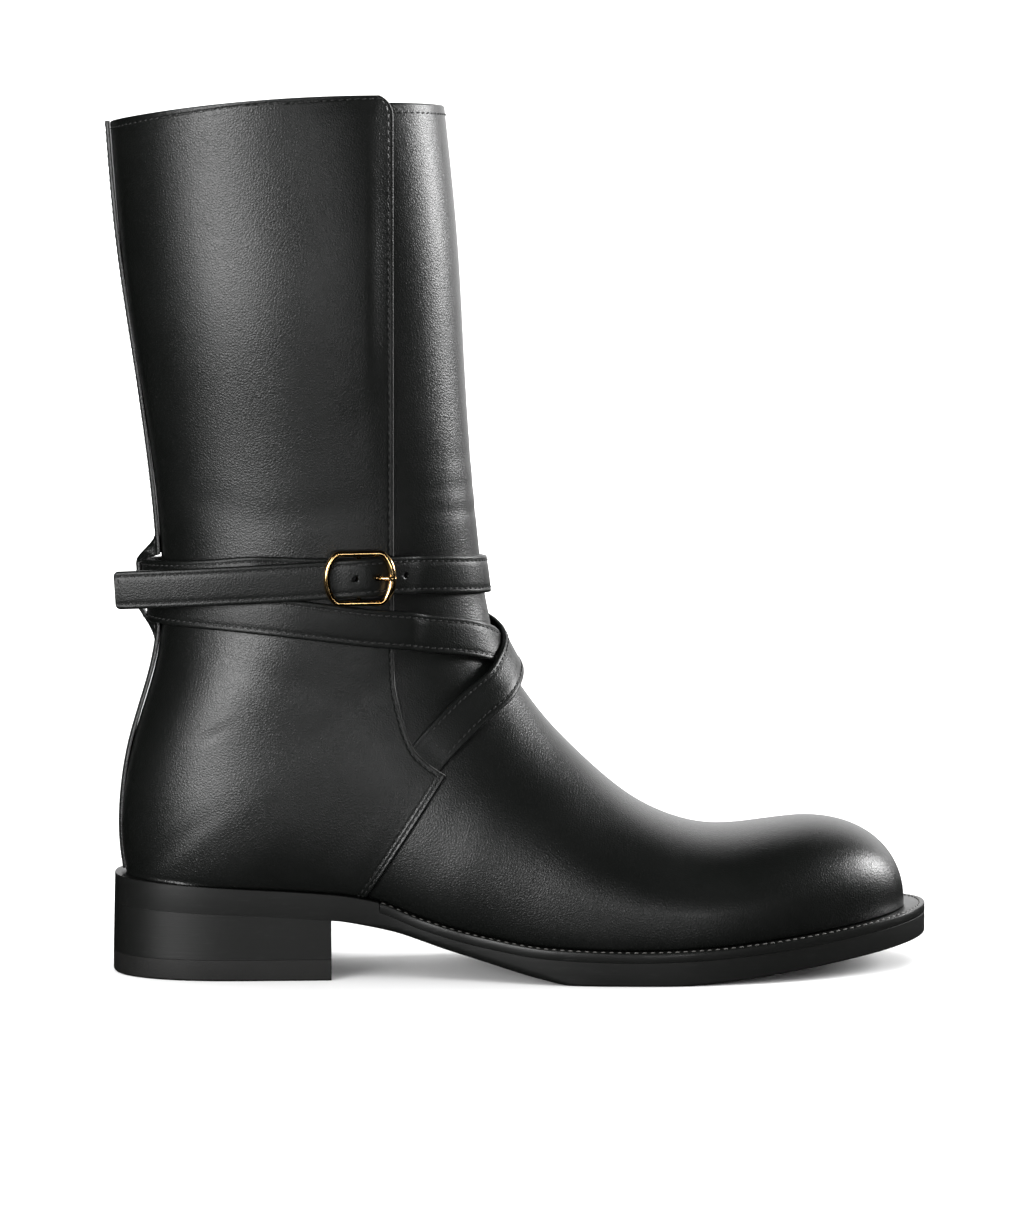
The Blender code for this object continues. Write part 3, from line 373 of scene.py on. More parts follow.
def low_line(station: Array, lift: Array) -> tuple[Array, Array, Array, Array, Array]:
    """The section's lower end: floor edge up to the heel, then the back seam.

    Args:
        station: Stations along the boot.
        lift: Height above the upper.

    Returns:
        Plain place, moved place, height, middle and half width.
    """
    on_floor = station < LAST.heel_station
    x = FLOOR_X(np.minimum(station, LAST.heel_station))
    moved_x, middle, floor_half = plan_outline(x, lift, FEATHER_EDGE)
    climb = np.maximum(station, LAST.heel_station)
    along_x, along_z = BACK_X.slope(climb), BACK_Z.slope(climb)
    length = np.hypot(along_x, along_z)
    seam_x = BACK_X(climb) - lift * along_z / length
    seam_z = BACK_Z(climb) + lift * along_x / length * np.minimum(climb - LAST.heel_station, 1.0)
    return (
        x,
        np.where(on_floor, moved_x, seam_x),
        np.where(on_floor, FEATHER(x) + LAST.fit_gap, seam_z),
        np.where(on_floor, middle, 0.0),
        np.where(on_floor, floor_half, 0.0),
    )


class HeelEase:
    """The section's lower end, smoothed along the stations by a bell so that the heel has no fold."""

    def __init__(self, first: float = 8.0, last: float = 14.0, count: int = 1201) -> None:
        """Fills a table of the smoothed values, and of what a lift of one adds to them.

        Args:
            first: The table's first station.
            last: Its last one.
            count: How many stations it has.
        """
        self.stations = np.linspace(first, last, count)
        step = self.stations[1] - self.stations[0]
        reach = int(LAST.ease_reach * LAST.ease_wide / step)
        bell = hump(np.arange(-reach, reach + 1) * step, 0.0, LAST.ease_wide)
        bell = bell / bell.sum()
        plain = np.stack(low_line(self.stations, np.zeros(count)))
        lifted = np.stack(low_line(self.stations, np.ones(count))) - plain
        self.plain, self.lifted = (
            [np.convolve(np.pad(row, reach, mode="edge"), bell, mode="valid") for row in table]
            for table in (plain, lifted)
        )

    def __call__(self, station: Array, lift: Array, climb: Array) -> list[Array]:
        """The lower end: sharp at the edge itself and far from the heel, smoothed elsewhere.

        Args:
            station: Stations along the boot.
            lift: Height above the upper.
            climb: How far up its section each point lies.

        Returns:
            Plain place, moved place, height, middle and half width.
        """
        enter, full, fade, leave = LAST.ease_stations
        share = smooth_step(enter, full, station) * (1.0 - smooth_step(fade, leave, station))
        share = share * smooth_step(0.0, LAST.ease_climb, np.abs(climb))
        values = []
        for sharp, plain, lifted in zip(low_line(station, lift), self.plain, self.lifted):
            soft = np.interp(station, self.stations, plain) + lift * np.interp(station, self.stations, lifted)
            values.append(sharp + (soft - sharp) * share)
        return values


HEEL_EASE = HeelEase()


def last_point(station: Any, turn: Any, lift: Any = 0.0) -> Array:
    """Points of the last, grown outwards by lift. A turn past the back seam goes on round the other side.

    Args:
        station: Stations along the boot.
        turn: Turns round each section.
        lift: Height above the upper's outer face.

    Returns:
        Points in millimetres.
    """
    station, turn, lift = np.broadcast_arrays(*(np.asarray(a, float) for a in (station, turn, lift)))
    past = (np.abs(turn) > 1.0) & (station >= LAST.heel_station)
    turn = np.where(past, turn - 2.0 * np.sign(turn), turn)
    climb = 1.0 - np.abs(turn)
    plain_x, low_x, low_z, middle, floor_half = HEEL_EASE(station, lift, climb)
    along_x, along_z = SECTION["front_x"].slope(station), SECTION["front_z"].slope(station)
    length = np.hypot(along_x, along_z)
    toe = np.clip((plain_x - PLAN.toe_round_from) / (FEATHER_EDGE.toe - PLAN.toe_round_from), 0.0, 1.0)
    cap = (plain_x - LAST.toe_cap_from) / (FEATHER_EDGE.toe - LAST.toe_cap_from)
    front_x = SECTION["front_x"](station) + lift * (along_z / length + toe)
    front_z = SECTION["front_z"](station) - lift * along_x / length
    front_z = low_z + (front_z - low_z) * end_round(cap, LAST.toe_cap_power)
    half = (SECTION["half"](station) + lift) * end_round(toe, PLAN.toe_power)
    widest, fullness = SECTION["widest"](station), SECTION["fullness"](station)
    flank = climb / LAST.lower_share * QUARTER_TURN
    shoulder = (climb - LAST.lower_share) / (1.0 - LAST.lower_share) * QUARTER_TURN
    low = climb < LAST.lower_share
    rounded = half * np.cos(shoulder) * (1.0 + fullness * np.sin(shoulder) ** 2)
    rise = np.sin(flank)
    steep = floor_half / SECTION["half"](station) * smooth_step(*LAST.steep_stations, station)
    rise = rise * np.abs(rise) ** steep
    out = np.where(low, floor_half + (half - floor_half) * rise, rounded)
    share = np.where(low, widest * (1.0 - np.cos(flank)), widest + (1.0 - widest) * np.sin(shoulder))
    x = low_x + (front_x - low_x) * share
    z = low_z + (front_z - low_z) * share + SECTION["dome"](station) * 4.0 * share * (1.0 - share)
    y = middle + (SECTION["ridge"](station) - middle) * share**2 + np.sign(turn) * out
    return np.stack([x, y, z], axis=-1)


def last_normal(station: Any, turn: Any, lift: Any = 0.0, reach: float = 1e-3) -> Array:
    """Outward unit normals of the last, by central differences.

    Args:
        station: Stations along the boot.
        turn: Turns round each section.
        lift: Height above the upper.
        reach: Half width of the differences.

    Returns:
        Normals.
    """
    by_station = last_point(station + reach, turn, lift) - last_point(station - reach, turn, lift)
    by_turn = last_point(station, turn + reach, lift) - last_point(station, turn - reach, lift)
    return unit(np.cross(by_turn, by_station))


def polar(points: Array) -> tuple[Array, Array]:
    """Angle in degrees round the shaft's axis, and height."""
    return np.degrees(np.arctan2(points[..., 1], points[..., 0] - LAST.axis_x)), points[..., 2]


def wrapped(angle: Array) -> Array:
    """An angle difference brought between -180 and 180 degrees."""
    return (angle + 180.0) % 360.0 - 180.0


def first_guess(angle: Array, height: Array) -> tuple[Array, Array]:
    """Nearest points of a coarse grid on the last.

    Args:
        angle: Polar angles round the shaft.
        height: Heights above the ground.

    Returns:
        Stations and turns.
    """
    spans = (np.linspace(*span) for span in (LAST.guess_stations, LAST.guess_turns))
    grid_station, grid_turn = np.meshgrid(*spans, indexing="ij")
    grid_angle, grid_height = polar(last_point(grid_station, grid_turn))
    far = wrapped(grid_angle.ravel() - angle[:, None]) ** 2 + (grid_height.ravel() - height[:, None]) ** 2
    nearest = far.argmin(axis=-1)
    return grid_station.ravel()[nearest], grid_turn.ravel()[nearest]


def locate(angle: Array, height: Array, lift: Array, station: Array, turn: Array) -> tuple[Array, Array]:
    """Stations and turns of points at given polar angles and heights, by Newton's method.

    Args:
        angle: Polar angles round the shaft.
        height: Heights above the ground.
        lift: Heights above the upper.
        station: Stations to start from.
        turn: Turns to start from.

    Returns:
        Stations and turns.
    """
    for _ in range(NEWTON_ROUNDS):
        here_angle, here_height = polar(last_point(station, turn, lift))
        next_angle, next_height = polar(last_point(station + NEWTON_REACH, turn, lift))
        angle_by_station = wrapped(next_angle - here_angle) / NEWTON_REACH
        height_by_station = (next_height - here_height) / NEWTON_REACH
        next_angle, next_height = polar(last_point(station, turn + NEWTON_REACH, lift))
        angle_by_turn = wrapped(next_angle - here_angle) / NEWTON_REACH
        height_by_turn = (next_height - here_height) / NEWTON_REACH
        off_angle, off_height = wrapped(angle - here_angle), height - here_height
        whole = angle_by_station * height_by_turn - angle_by_turn * height_by_station
        walk = (height_by_turn * off_angle - angle_by_turn * off_height) / whole
        swing = (angle_by_station * off_height - height_by_station * off_angle) / whole
        station = station + np.clip(walk, -STATION_STRIDE, STATION_STRIDE)
        turn = turn + np.clip(swing, -TURN_STRIDE, TURN_STRIDE)
    return station, turn


def seam_turns(station: Array, across: Array, lift: Array) -> Array:
    """Turns near the back seam at which points lie a given width to its side, by Newton's method.

    Args:
        station: Stations up the seam.
        across: Widths to the side.
        lift: Heights above the upper.

    Returns:
        Turns.
    """
    turn = 1.0 - LAST.lower_share * np.arcsin(across / (SECTION["half"](station) + lift)) / QUARTER_TURN
    for _ in range(NEWTON_ROUNDS):
        here = last_point(station, turn, lift)[..., 1]
        beyond = last_point(station, turn - NEWTON_REACH, lift)[..., 1]
        turn = turn - (across - here) / (beyond - here) * NEWTON_REACH
    return turn


# Meshes


def grid_quads(rows: int, cols: int, start: int = 0, closed: bool = False) -> Array:
    """Faces of a grid of points laid out row by row.

    Args:
        rows: Rows of points.
        cols: Points in a row.
        start: Number of the first point.
        closed: Whether each row closes in a ring.

    Returns:
        Faces as rows of four point numbers.
    """
    index = start + np.arange(rows * cols).reshape(rows, cols)
    if closed:
        index = np.concatenate([index, index[:, :1]], axis=1)
    corners = (index[:-1, :-1], index[:-1, 1:], index[1:, 1:], index[1:, :-1])
    return np.stack([corner.ravel() for corner in corners], axis=1)


def wall_quads(line: Array, shift: int) -> Array:
    """Faces between a line of points and its twin, which is stored a number of points later."""
    return np.stack([line[:-1], line[1:], line[1:] + shift, line[:-1] + shift], axis=1)


def add_mesh(name: str, points: Array, quads: Array, finishes: Sequence[bpy.types.Material],
             slots: Optional[Array] = None) -> bpy.types.Object:
    """A mesh object at the origin from points in millimetres, welded, turned outwards and shaded smooth.

    Args:
        name: The piece's name.
        points: Points, one row each.
        quads: Faces as rows of four point numbers.
        finishes: Materials, in slot order.
        slots: Material slot of each face, if there is more than one.

    Returns:
        The new object.
    """
    mesh = bpy.data.meshes.new(name)
    mesh.vertices.add(len(points))
    mesh.vertices.foreach_set("co", np.ascontiguousarray(points * MM, np.float32).ravel())
    mesh.loops.add(quads.size)
    mesh.loops.foreach_set("vertex_index", np.ascontiguousarray(quads, np.int32).ravel())
    mesh.polygons.add(len(quads))
    mesh.polygons.foreach_set("loop_start", np.arange(0, quads.size, 4, dtype=np.int32))
    for finish in finishes:
        mesh.materials.append(finish)
    if slots is not None:
        mesh.polygons.foreach_set("material_index", np.ascontiguousarray(slots, np.int32))
    mesh.update(calc_edges=True)
    work = bmesh.new()
    work.from_mesh(mesh)
    bmesh.ops.remove_doubles(work, verts=work.verts, dist=MERGE_GAP)
    bmesh.ops.recalc_face_normals(work, faces=work.faces)
    work.to_mesh(mesh)
    work.free()
    mesh.shade_smooth()
    mesh.set_sharp_from_angle(angle=SHARP_ANGLE)
    piece = bpy.data.objects.new(name, mesh)
    bpy.context.scene.collection.objects.link(piece)
    return piece


def loft(loops: Array, closed: bool = False) -> tuple[Array, Array]:
    """Points and faces of a solid through equal closed cross-sections.

    Args:
        loops: Cross-sections, as an array of runs by sides by three.
        closed: Whether the run itself closes on its start.

    Returns:
        Points and faces. Open ends are closed by fans to their middles.
    """
    count, sides = loops.shape[:2]
    points = loops.reshape(-1, 3)
    if closed:
        ring = np.concatenate([loops, loops[:1]])
        return ring.reshape(-1, 3), grid_quads(count + 1, sides, closed=True)
    quads = [grid_quads(count, sides, closed=True)]
    start = np.arange(sides)
    for row, middle in ((0, len(points)), (count - 1, len(points) + 1)):
        around = row * sides + start
        half = around[::2]
        quads.append(np.stack([half, around[1::2], np.roll(half, -1), np.full(len(half), middle)], axis=1))
    points = np.concatenate([points, loops[0].mean(axis=0)[None], loops[-1].mean(axis=0)[None]])
    return points, np.concatenate(quads)


def tube(path: Array, radius: Array, flat: Array, sides: int, closed: bool = False) -> tuple[Array, Array]:
    """A round wire along a path that lies in the plane square to flat.

    Args:
        path: Middle line of the wire.
        radius: Radius at each point.
        flat: Axis square to the path.
        sides: Sides of the wire, an even number.
        closed: Whether the wire is a ring.

    Returns:
        Points and faces.
    """
    if closed:
        along = unit(np.roll(path, -1, axis=0) - np.roll(path, 1, axis=0))
    else:
        along = unit(np.gradient(path, axis=0))
    side = unit(np.cross(along, flat))
    around = np.linspace(0.0, 2.0 * math.pi, sides, endpoint=False)
    ring = np.cos(around)[None, :, None] * side[:, None] + np.sin(around)[None, :, None] * flat
    return loft(path[:, None] + np.broadcast_to(radius, len(path))[:, None, None] * ring, closed)


def joined(parts: Sequence[tuple[Array, Array]]) -> tuple[Array, Array]:
    """Several point and face lists as one.

    Args:
        parts: Points and faces of each.

    Returns:
        Points and faces.
    """
    starts = np.cumsum([0] + [len(points) for points, _ in parts[:-1]])
    points = np.concatenate([points for points, _ in parts])
    return points, np.concatenate([quads + start for (_, quads), start in zip(parts, starts)])


# Shader expressions


class Value:
    """A shader socket that takes part in Python expressions, each adding one Math node."""

    def __init__(self, graph: "Graph", socket: bpy.types.NodeSocket) -> None:
        """Wraps a socket of a graph."""
        self.graph = graph
        self.socket = socket

    def _math(self, operation: str, first: Any, second: Any) -> "Value":
        """The result of one Math node."""
        return self.graph.node("ShaderNodeMath", {"operation": operation}, {0: first, 1: second})

    def __add__(self, other: Any) -> "Value":
        """Sum."""
        return self._math("ADD", self, other)

    def __sub__(self, other: Any) -> "Value":
        """Difference."""
        return self._math("SUBTRACT", self, other)

    def __rsub__(self, other: Any) -> "Value":
        """Difference from a number."""
        return self._math("SUBTRACT", other, self)

    def __mul__(self, other: Any) -> "Value":
        """Product."""
        return self._math("MULTIPLY", self, other)

    __radd__ = __add__
    __rmul__ = __mul__


class Noise(NamedTuple):
    """A noise: cells a metre, layers of detail, how strong the finer ones are, and any stretch."""

    scale: float
    detail: float = 2.0
    finer: float = 0.5
    stretch: Optional[tuple] = None


class Graph:
    """The nodes of one material, around its Principled shader."""

    def __init__(self, name: str) -> None:
        """Starts a material with one Principled shader.

        Args:
            name: The material's name.
        """
        self.material = bpy.data.materials.new(name)
        self.material.use_nodes = True
        self.tree = self.material.node_tree
        self.shader = self.tree.nodes["Principled BSDF"]
        self.place = self.node("ShaderNodeTexCoord", output="Object")

    def node(self, kind: str, settings: Optional[dict] = None, inputs: Optional[dict] = None,
             output: Any = 0) -> Value:
        """Adds one node.

        Args:
            kind: The node's type.
            settings: Its properties, which are set first.
            inputs: Values or links of its sockets, by name or number.
            output: The output that is returned.

        Returns:
            The chosen output.
        """
        node = self.tree.nodes.new(kind)
        for key, value in (settings or {}).items():
            setattr(node, key, value)
        for key, value in (inputs or {}).items():
            self.link(node.inputs[key], value)
        return Value(self, node.outputs[output])

    def link(self, socket: bpy.types.NodeSocket, value: Any) -> None:
        """Links a value to a socket, or sets a plain number or colour on it.

        Args:
            socket: The socket.
            value: What it gets.
        """
        if isinstance(value, Value):
            self.tree.links.new(value.socket, socket)
        else:
            socket.default_value = value

    def set(self, **values: Any) -> None:
        """Sets the shader's sockets: Base_Color means Base Color."""
        for key, value in values.items():
            self.link(self.shader.inputs[key.replace("_", " ")], value)

    def noise(self, noise: Noise) -> Value:
        """A noise between about 0 and 1.

        Args:
            noise: What it is like.

        Returns:
            Its value.
        """
        at = self.stretched(noise.stretch) if noise.stretch else self.place
        inputs = {"Vector": at, "Scale": noise.scale, "Detail": noise.detail, "Roughness": noise.finer}
        return self.node("ShaderNodeTexNoise", {}, inputs, "Fac")

    def cells(self, scale: float) -> Value:
        """Distance to the edges of small cells, as in the folds of a leather's grain."""
        inputs = {"Vector": self.place, "Scale": scale}
        return self.node("ShaderNodeTexVoronoi", {"feature": "DISTANCE_TO_EDGE"}, inputs, "Distance")

    def stretched(self, scale: tuple[float, float, float]) -> Value:
        """The place, stretched along the axes."""
        return self.node("ShaderNodeMapping", {}, {"Vector": self.place, "Scale": scale})

    def ramp(self, value: Value, low: float, high: float) -> Value:
        """0 below low, 1 above high, straight between."""
        return self.node("ShaderNodeMapRange", {"clamp": True}, {"Value": value, 1: low, 2: high})

    def mixed(self, factor: Value, low: tuple, high: tuple) -> Value:
        """A colour between two others."""
        inputs = {0: factor, 6: (*low, 1.0), 7: (*high, 1.0)}
        return self.node("ShaderNodeMix", {"data_type": "RGBA"}, inputs, 2)

    def bump(self, height: Value, depth: float, strength: float = 1.0) -> None:
        """Raises the surface by a height between 0 and 1 times a depth in metres."""
        inputs = {"Height": height, "Distance": depth, "Strength": strength}
        self.set(Normal=self.node("ShaderNodeBump", {}, inputs, "Normal"))


# Finishes


@dataclass(frozen=True)
class Leather:
    """Smooth dyed leather: two tones, fine pebbled grain, faint pores and a soft polish."""

    name: str
    dark: tuple = (0.0018, 0.0022, 0.0019)
    light: tuple = (0.0048, 0.0055, 0.0050)
    roughness: float = 0.34
    uneven: float = 0.10
    grain: float = 1600.0
    depth: float = 0.00012
    polish: float = 0.12
    gloss: float = 0.5
    cloud: Noise = Noise(38.0, 3.0, 0.55)
    fine_finer: float = 0.62
    fine_uneven: float = 0.12
    pebble_scale: float = 0.62
    pebble_edge: float = 0.32
    pore_scale: float = 1.9
    pore_range: tuple = (0.25, 0.60)
    coat_range: tuple = (0.25, 0.75)
    coat_roughness: float = 0.24
    cloud_tone: float = 0.6
    fine_tone: float = 0.4
    pebble_share: float = 0.35
    fine_share: float = 0.5
    pore_share: float = 0.15

    def build(self) -> bpy.types.Material:
        """Tones and gloss drift with a cloud and the grain, which rises as pebbles between fine folds.

        Returns:
            The material.
        """
        graph = Graph(self.name)
        cloud = graph.noise(self.cloud)
        fine = graph.noise(Noise(self.grain, 3.0, self.fine_finer))
        pebble = graph.ramp(graph.cells(self.grain * self.pebble_scale), 0.0, self.pebble_edge)
        pores = graph.ramp(graph.noise(Noise(self.grain * self.pore_scale, 1.0)), *self.pore_range)
        drift = (cloud - 0.5) * self.uneven + (fine - 0.5) * self.fine_uneven
        graph.set(
            Base_Color=graph.mixed(cloud * self.cloud_tone + fine * self.fine_tone, self.dark, self.light),
            Roughness=drift + self.roughness,
            Coat_Weight=graph.ramp(cloud, *self.coat_range) * self.polish,
            Coat_Roughness=self.coat_roughness,
            Specular_IOR_Level=self.gloss,
        )
        height = pebble * self.pebble_share + fine * self.fine_share + pores * self.pore_share
        graph.bump(height, self.depth)
        return graph.material


@dataclass(frozen=True)
class SoleEdge:
    """Waxed sole leather: burnished, with fine streaks that run along the edge."""

    name: str
    dark: tuple = (0.0035, 0.0038, 0.0035)
    light: tuple = (0.012, 0.0125, 0.0118)
    roughness: float = 0.44
    uneven: float = 0.16
    scuff_matt: float = 0.12
    depth: float = 0.00004
    gloss: float = 0.3
    streaks: Noise = Noise(60.0, 4.0, 0.6, (0.5, 0.5, 26.0))
    cloud: Noise = Noise(45.0)
    scuffs: Noise = Noise(210.0, 4.0, 0.7, (0.6, 0.6, 5.0))
    scuff_range: tuple = (0.60, 0.72)
    scuff_tone: float = 0.55
    streak_tone: float = 0.3
    coat_range: tuple = (0.3, 0.7)
    polish: float = 0.12
    streak_share: float = 0.7
    scuff_share: float = 0.3

    def build(self) -> bpy.types.Material:
        """Streaks and a few lighter, duller scuffs lie over a cloudy polish.

        Returns:
            The material.
        """
        graph = Graph(self.name)
        streaks = graph.noise(self.streaks)
        cloud = graph.noise(self.cloud)
        scuffs = graph.ramp(graph.noise(self.scuffs), *self.scuff_range)
        tone = scuffs * self.scuff_tone + streaks * self.streak_tone
        graph.set(
            Base_Color=graph.mixed(tone, self.dark, self.light),
            Roughness=(cloud - 0.5) * self.uneven + scuffs * self.scuff_matt + self.roughness,
            Coat_Weight=graph.ramp(cloud, *self.coat_range) * self.polish,
            Specular_IOR_Level=self.gloss,
        )
        graph.bump(streaks * self.streak_share + scuffs * self.scuff_share, self.depth)
        return graph.material


@dataclass(frozen=True)
class Rubber:
    """Matt moulded rubber with a fine speckle."""

    name: str
    dark: tuple = (0.005, 0.005, 0.0048)
    light: tuple = (0.014, 0.0138, 0.0132)
    roughness: float = 0.5
    uneven: float = 0.2
    depth: float = 0.00008
    gloss: float = 0.3
    speckle: Noise = Noise(2400.0, 3.0, 0.6)
    cloud: Noise = Noise(70.0, 3.0)
    speckle_tone: float = 0.5
    cloud_tone: float = 0.4

    def build(self) -> bpy.types.Material:
        """A speckle gives the tone and the surface, and a cloud the gloss.

        Returns:
            The material.
        """
        graph = Graph(self.name)
        speckle = graph.noise(self.speckle)
        cloud = graph.noise(self.cloud)
        tone = speckle * self.speckle_tone + cloud * self.cloud_tone
        graph.set(
            Base_Color=graph.mixed(tone, self.dark, self.light),
            Roughness=(cloud - 0.5) * self.uneven + self.roughness,
            Specular_IOR_Level=self.gloss,
        )
        graph.bump(speckle, self.depth)
        return graph.material


@dataclass(frozen=True)
class Brass:
    """Polished gold-toned metal with hairline brushing and a tone that a cloud mixes at random between darker
    and lighter gold.
    """

    name: str
    dark: tuple = (0.62, 0.35, 0.11)
    light: tuple = (0.95, 0.66, 0.31)
    roughness: float = 0.15
    hair_uneven: float = 0.10
    cloud_uneven: float = 0.08
    depth: float = 0.000004
    hairs: Noise = Noise(900.0, 3.0, 0.6, (1.0, 1.0, 9.0))
    cloud: Noise = Noise(260.0)
    gold_mix_range: tuple = (0.25, 0.7)

    def build(self) -> bpy.types.Material:
        """A cloud mixes a darker and a lighter gold at random, and hairlines break up the gloss.

        Returns:
            The material.
        """
        graph = Graph(self.name)
        hairs = graph.noise(self.hairs)
        cloud = graph.noise(self.cloud)
        drift = (hairs - 0.5) * self.hair_uneven + (cloud - 0.5) * self.cloud_uneven
        graph.set(
            Base_Color=graph.mixed(graph.ramp(cloud, *self.gold_mix_range), self.dark, self.light),
            Roughness=drift + self.roughness,
            Metallic=1.0,
        )
        graph.bump(hairs, self.depth)
        return graph.material


@dataclass(frozen=True)
class Thread:
    """Waxed thread with a twist along it, black like the leather unless it says otherwise."""

    name: str
    dark: tuple = (0.0040, 0.0042, 0.0040)
    light: tuple = (0.0160, 0.0165, 0.0160)
    roughness: float = 0.34
    uneven: float = 0.2
    depth: float = 0.00012
    strands: Noise = Noise(3800.0, 2.0, 0.6)

    def build(self) -> bpy.types.Material:
        """Strands give the tone, the gloss and the surface.

        Returns:
            The material.
        """
        graph = Graph(self.name)
        strands = graph.noise(self.strands)
        graph.set(
            Base_Color=graph.mixed(strands, self.dark, self.light),
            Roughness=strands * self.uneven + self.roughness,
        )
        graph.bump(strands, self.depth)
        return graph.material


@dataclass(frozen=True)
class Paper:
    """The pale studio floor and wall."""

    name: str
    colour: tuple = (0.93, 0.93, 0.93, 1.0)
    roughness: float = 0.82
    uneven: float = 0.1
    depth: float = 0.0002
    strength: float = 0.2
    fibre: Noise = Noise(240.0, 3.0)

    def build(self) -> bpy.types.Material:
        """Fibres give a faint surface.

        Returns:
            The material.
        """
        graph = Graph(self.name)
        fibre = graph.noise(self.fibre)
        graph.set(Base_Color=self.colour, Roughness=fibre * self.uneven + self.roughness)
        graph.bump(fibre, self.depth, self.strength)
        return graph.material


@dataclass(frozen=True)
class Finishes:
    """Every material of the boot."""

    calf: bpy.types.Material
    strap: bpy.types.Material
    lining: bpy.types.Material
    insole: bpy.types.Material
    cut_edge: bpy.types.Material
    welt: bpy.types.Material
    sole: bpy.types.Material
    under: bpy.types.Material
    rubber: bpy.types.Material
    brass: bpy.types.Material
    thread: bpy.types.Material
    welt_thread: bpy.types.Material

    @classmethod
    def build(cls) -> "Finishes":
        """Makes the materials.

        Returns:
            All of them.
        """
        return cls(
            calf=Leather("smooth_black_calf").build(),
            strap=Leather("strap_leather", roughness=0.36, gloss=0.32).build(),
            lining=Leather(
                "lining_leather",
                dark=(0.014, 0.013, 0.012),
                light=(0.030, 0.028, 0.026),
                roughness=0.55,
                grain=1100.0,
                depth=0.00007,
                polish=0.0,
            ).build(),
            insole=Leather(
                "insole_leather",
                dark=(0.026, 0.022, 0.018),
                light=(0.050, 0.043, 0.036),
                roughness=0.6,
                uneven=0.12,
                grain=900.0,
                depth=0.00009,
                polish=0.0,
            ).build(),
            # Painted highlight: a light grey tone on the quarters' free front edge stands in for the bright
            # line its rounded rim catches from the right soft box.
            cut_edge=Leather(
                "painted_cut_edge",
                dark=(0.13, 0.13, 0.127),
                light=(0.22, 0.22, 0.215),
                roughness=0.32,
                uneven=0.06,
                grain=900.0,
                depth=0.00004,
                polish=0.3,
            ).build(),
            welt=SoleEdge("waxed_welt", roughness=0.36).build(),
            sole=SoleEdge("burnished_sole").build(),
            under=SoleEdge("sole_underside", (0.013, 0.0125, 0.012), (0.040, 0.038, 0.036), 0.52).build(),
            rubber=Rubber("heel_rubber").build(),
            brass=Brass("polished_brass").build(),
            thread=Thread("black_thread").build(),
            welt_thread=Thread("welt_thread", (0.04, 0.039, 0.036), (0.14, 0.135, 0.128)).build(),
        )


# Stitching


@dataclass(frozen=True)
class Stitching:
    """Rows of short raised stitches that lean a little and dip into the leather at both ends."""

    pitch: float = 2.9
    long: float = 2.0
    radius: float = 0.3
    rise: float = 0.2
    lean: float = 0.16
    sink: float = 0.06
    look: float = 0.4
    tip: float = 0.02
    rings: int = 7
    sides: int = 6

    def row(self, path: Array, normals: Array) -> tuple[Array, Array]:
        """Stitches along a line on a surface.

        Each is an arch: along a from -1 to 1 its middle line rises by 1 - a^2, and its radius goes
        with the root of 1 - a^4.

        Args:
            path: Points of the line.
            normals: The surface's normals there.

        Returns:
            Points and faces.
        """
        run = run_length(path)
        count = max(int(run[-1] / self.pitch), 1)
        at = (np.arange(count) + 0.5) * run[-1] / count
        centre, out = carried(run, path, at), unit(carried(run, normals, at))
        front, back = (np.clip(at + look, 0.0, run[-1]) for look in (self.look, -self.look))
        ahead = unit(carried(run, path, front) - carried(run, path, back))
        side = unit(np.cross(out, ahead))
        ahead = unit(ahead + self.lean * side)
        side = np.cross(out, ahead)
        a = np.linspace(-1.0, 1.0, self.rings)
        around = np.linspace(0.0, 2.0 * math.pi, self.sides, endpoint=False)
        thick = self.radius * np.sqrt(np.clip(1.0 - a**4, self.tip, 1.0))
        middle = centre[:, None] + (a * self.long / 2.0)[None, :, None] * ahead[:, None]
        middle = middle + (self.rise * (1.0 - a**2) - self.sink)[None, :, None] * out[:, None]
        ring = np.cos(around)[None, :, None] * side[:, None] + np.sin(around)[None, :, None] * out[:, None]
        points = middle[:, :, None] + thick[None, :, None, None] * ring[:, None]
        index = np.arange(count)[:, None, None] * (self.rings * self.sides)
        quads = index + grid_quads(self.rings, self.sides, closed=True)[None]
        return points.reshape(-1, 3), quads.reshape(-1, 4)


# Pieces


def settle(piece: bpy.types.Object, slot: str, *nodes: str) -> None:
    """Rides a finished piece on the boot and lets it stand for its solids.

    Args:
        piece: The finished piece.
        slot: The record's material slot; not used.
        nodes: Solids that the piece stands for.
    """
    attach(piece, BODY)
    if nodes:
        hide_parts(*nodes)
    LOG.info("%s: %d faces", piece.name, len(piece.data.polygons))


class Crease(NamedTuple):
    """A soft trough on the leather, or a ridge where its depth is negative, seen from the side."""

    x: float
    z: float
    long: float
    wide: float
    lean: float
    depth: float


def crease_depth(points: Array, creases: Sequence[Crease]) -> Array:
    """Depth of all creases: a sum of bells, each stretched along its own direction.

    Args:
        points: Points on the last.
        creases: The creases.

    Returns:
        Depths in millimetres.
    """
    depth = np.zeros(points.shape[:-1])
    for crease in creases:
        lean = math.radians(crease.lean)
        x, z = points[..., 0] - crease.x, points[..., 2] - crease.z
        ahead = x * math.cos(lean) + z * math.sin(lean)
        beside = z * math.cos(lean) - x * math.sin(lean)
        depth += crease.depth * hump(ahead, 0.0, crease.long) * hump(beside, 0.0, crease.wide)
    return depth


def border_quads(rows: int, cols: int) -> Array:
    """Faces that join the rims of two equal grids, the second stored after the first.

    Args:
        rows: Rows of each grid.
        cols: Points in a row.

    Returns:
        Faces as rows of four point numbers.
    """
    index = np.arange(rows * cols).reshape(rows, cols)
    rim = np.concatenate([index[0, :-1], index[:-1, -1], index[-1, :0:-1], index[:0:-1, 0], [0]])
    return wall_quads(rim, rows * cols)


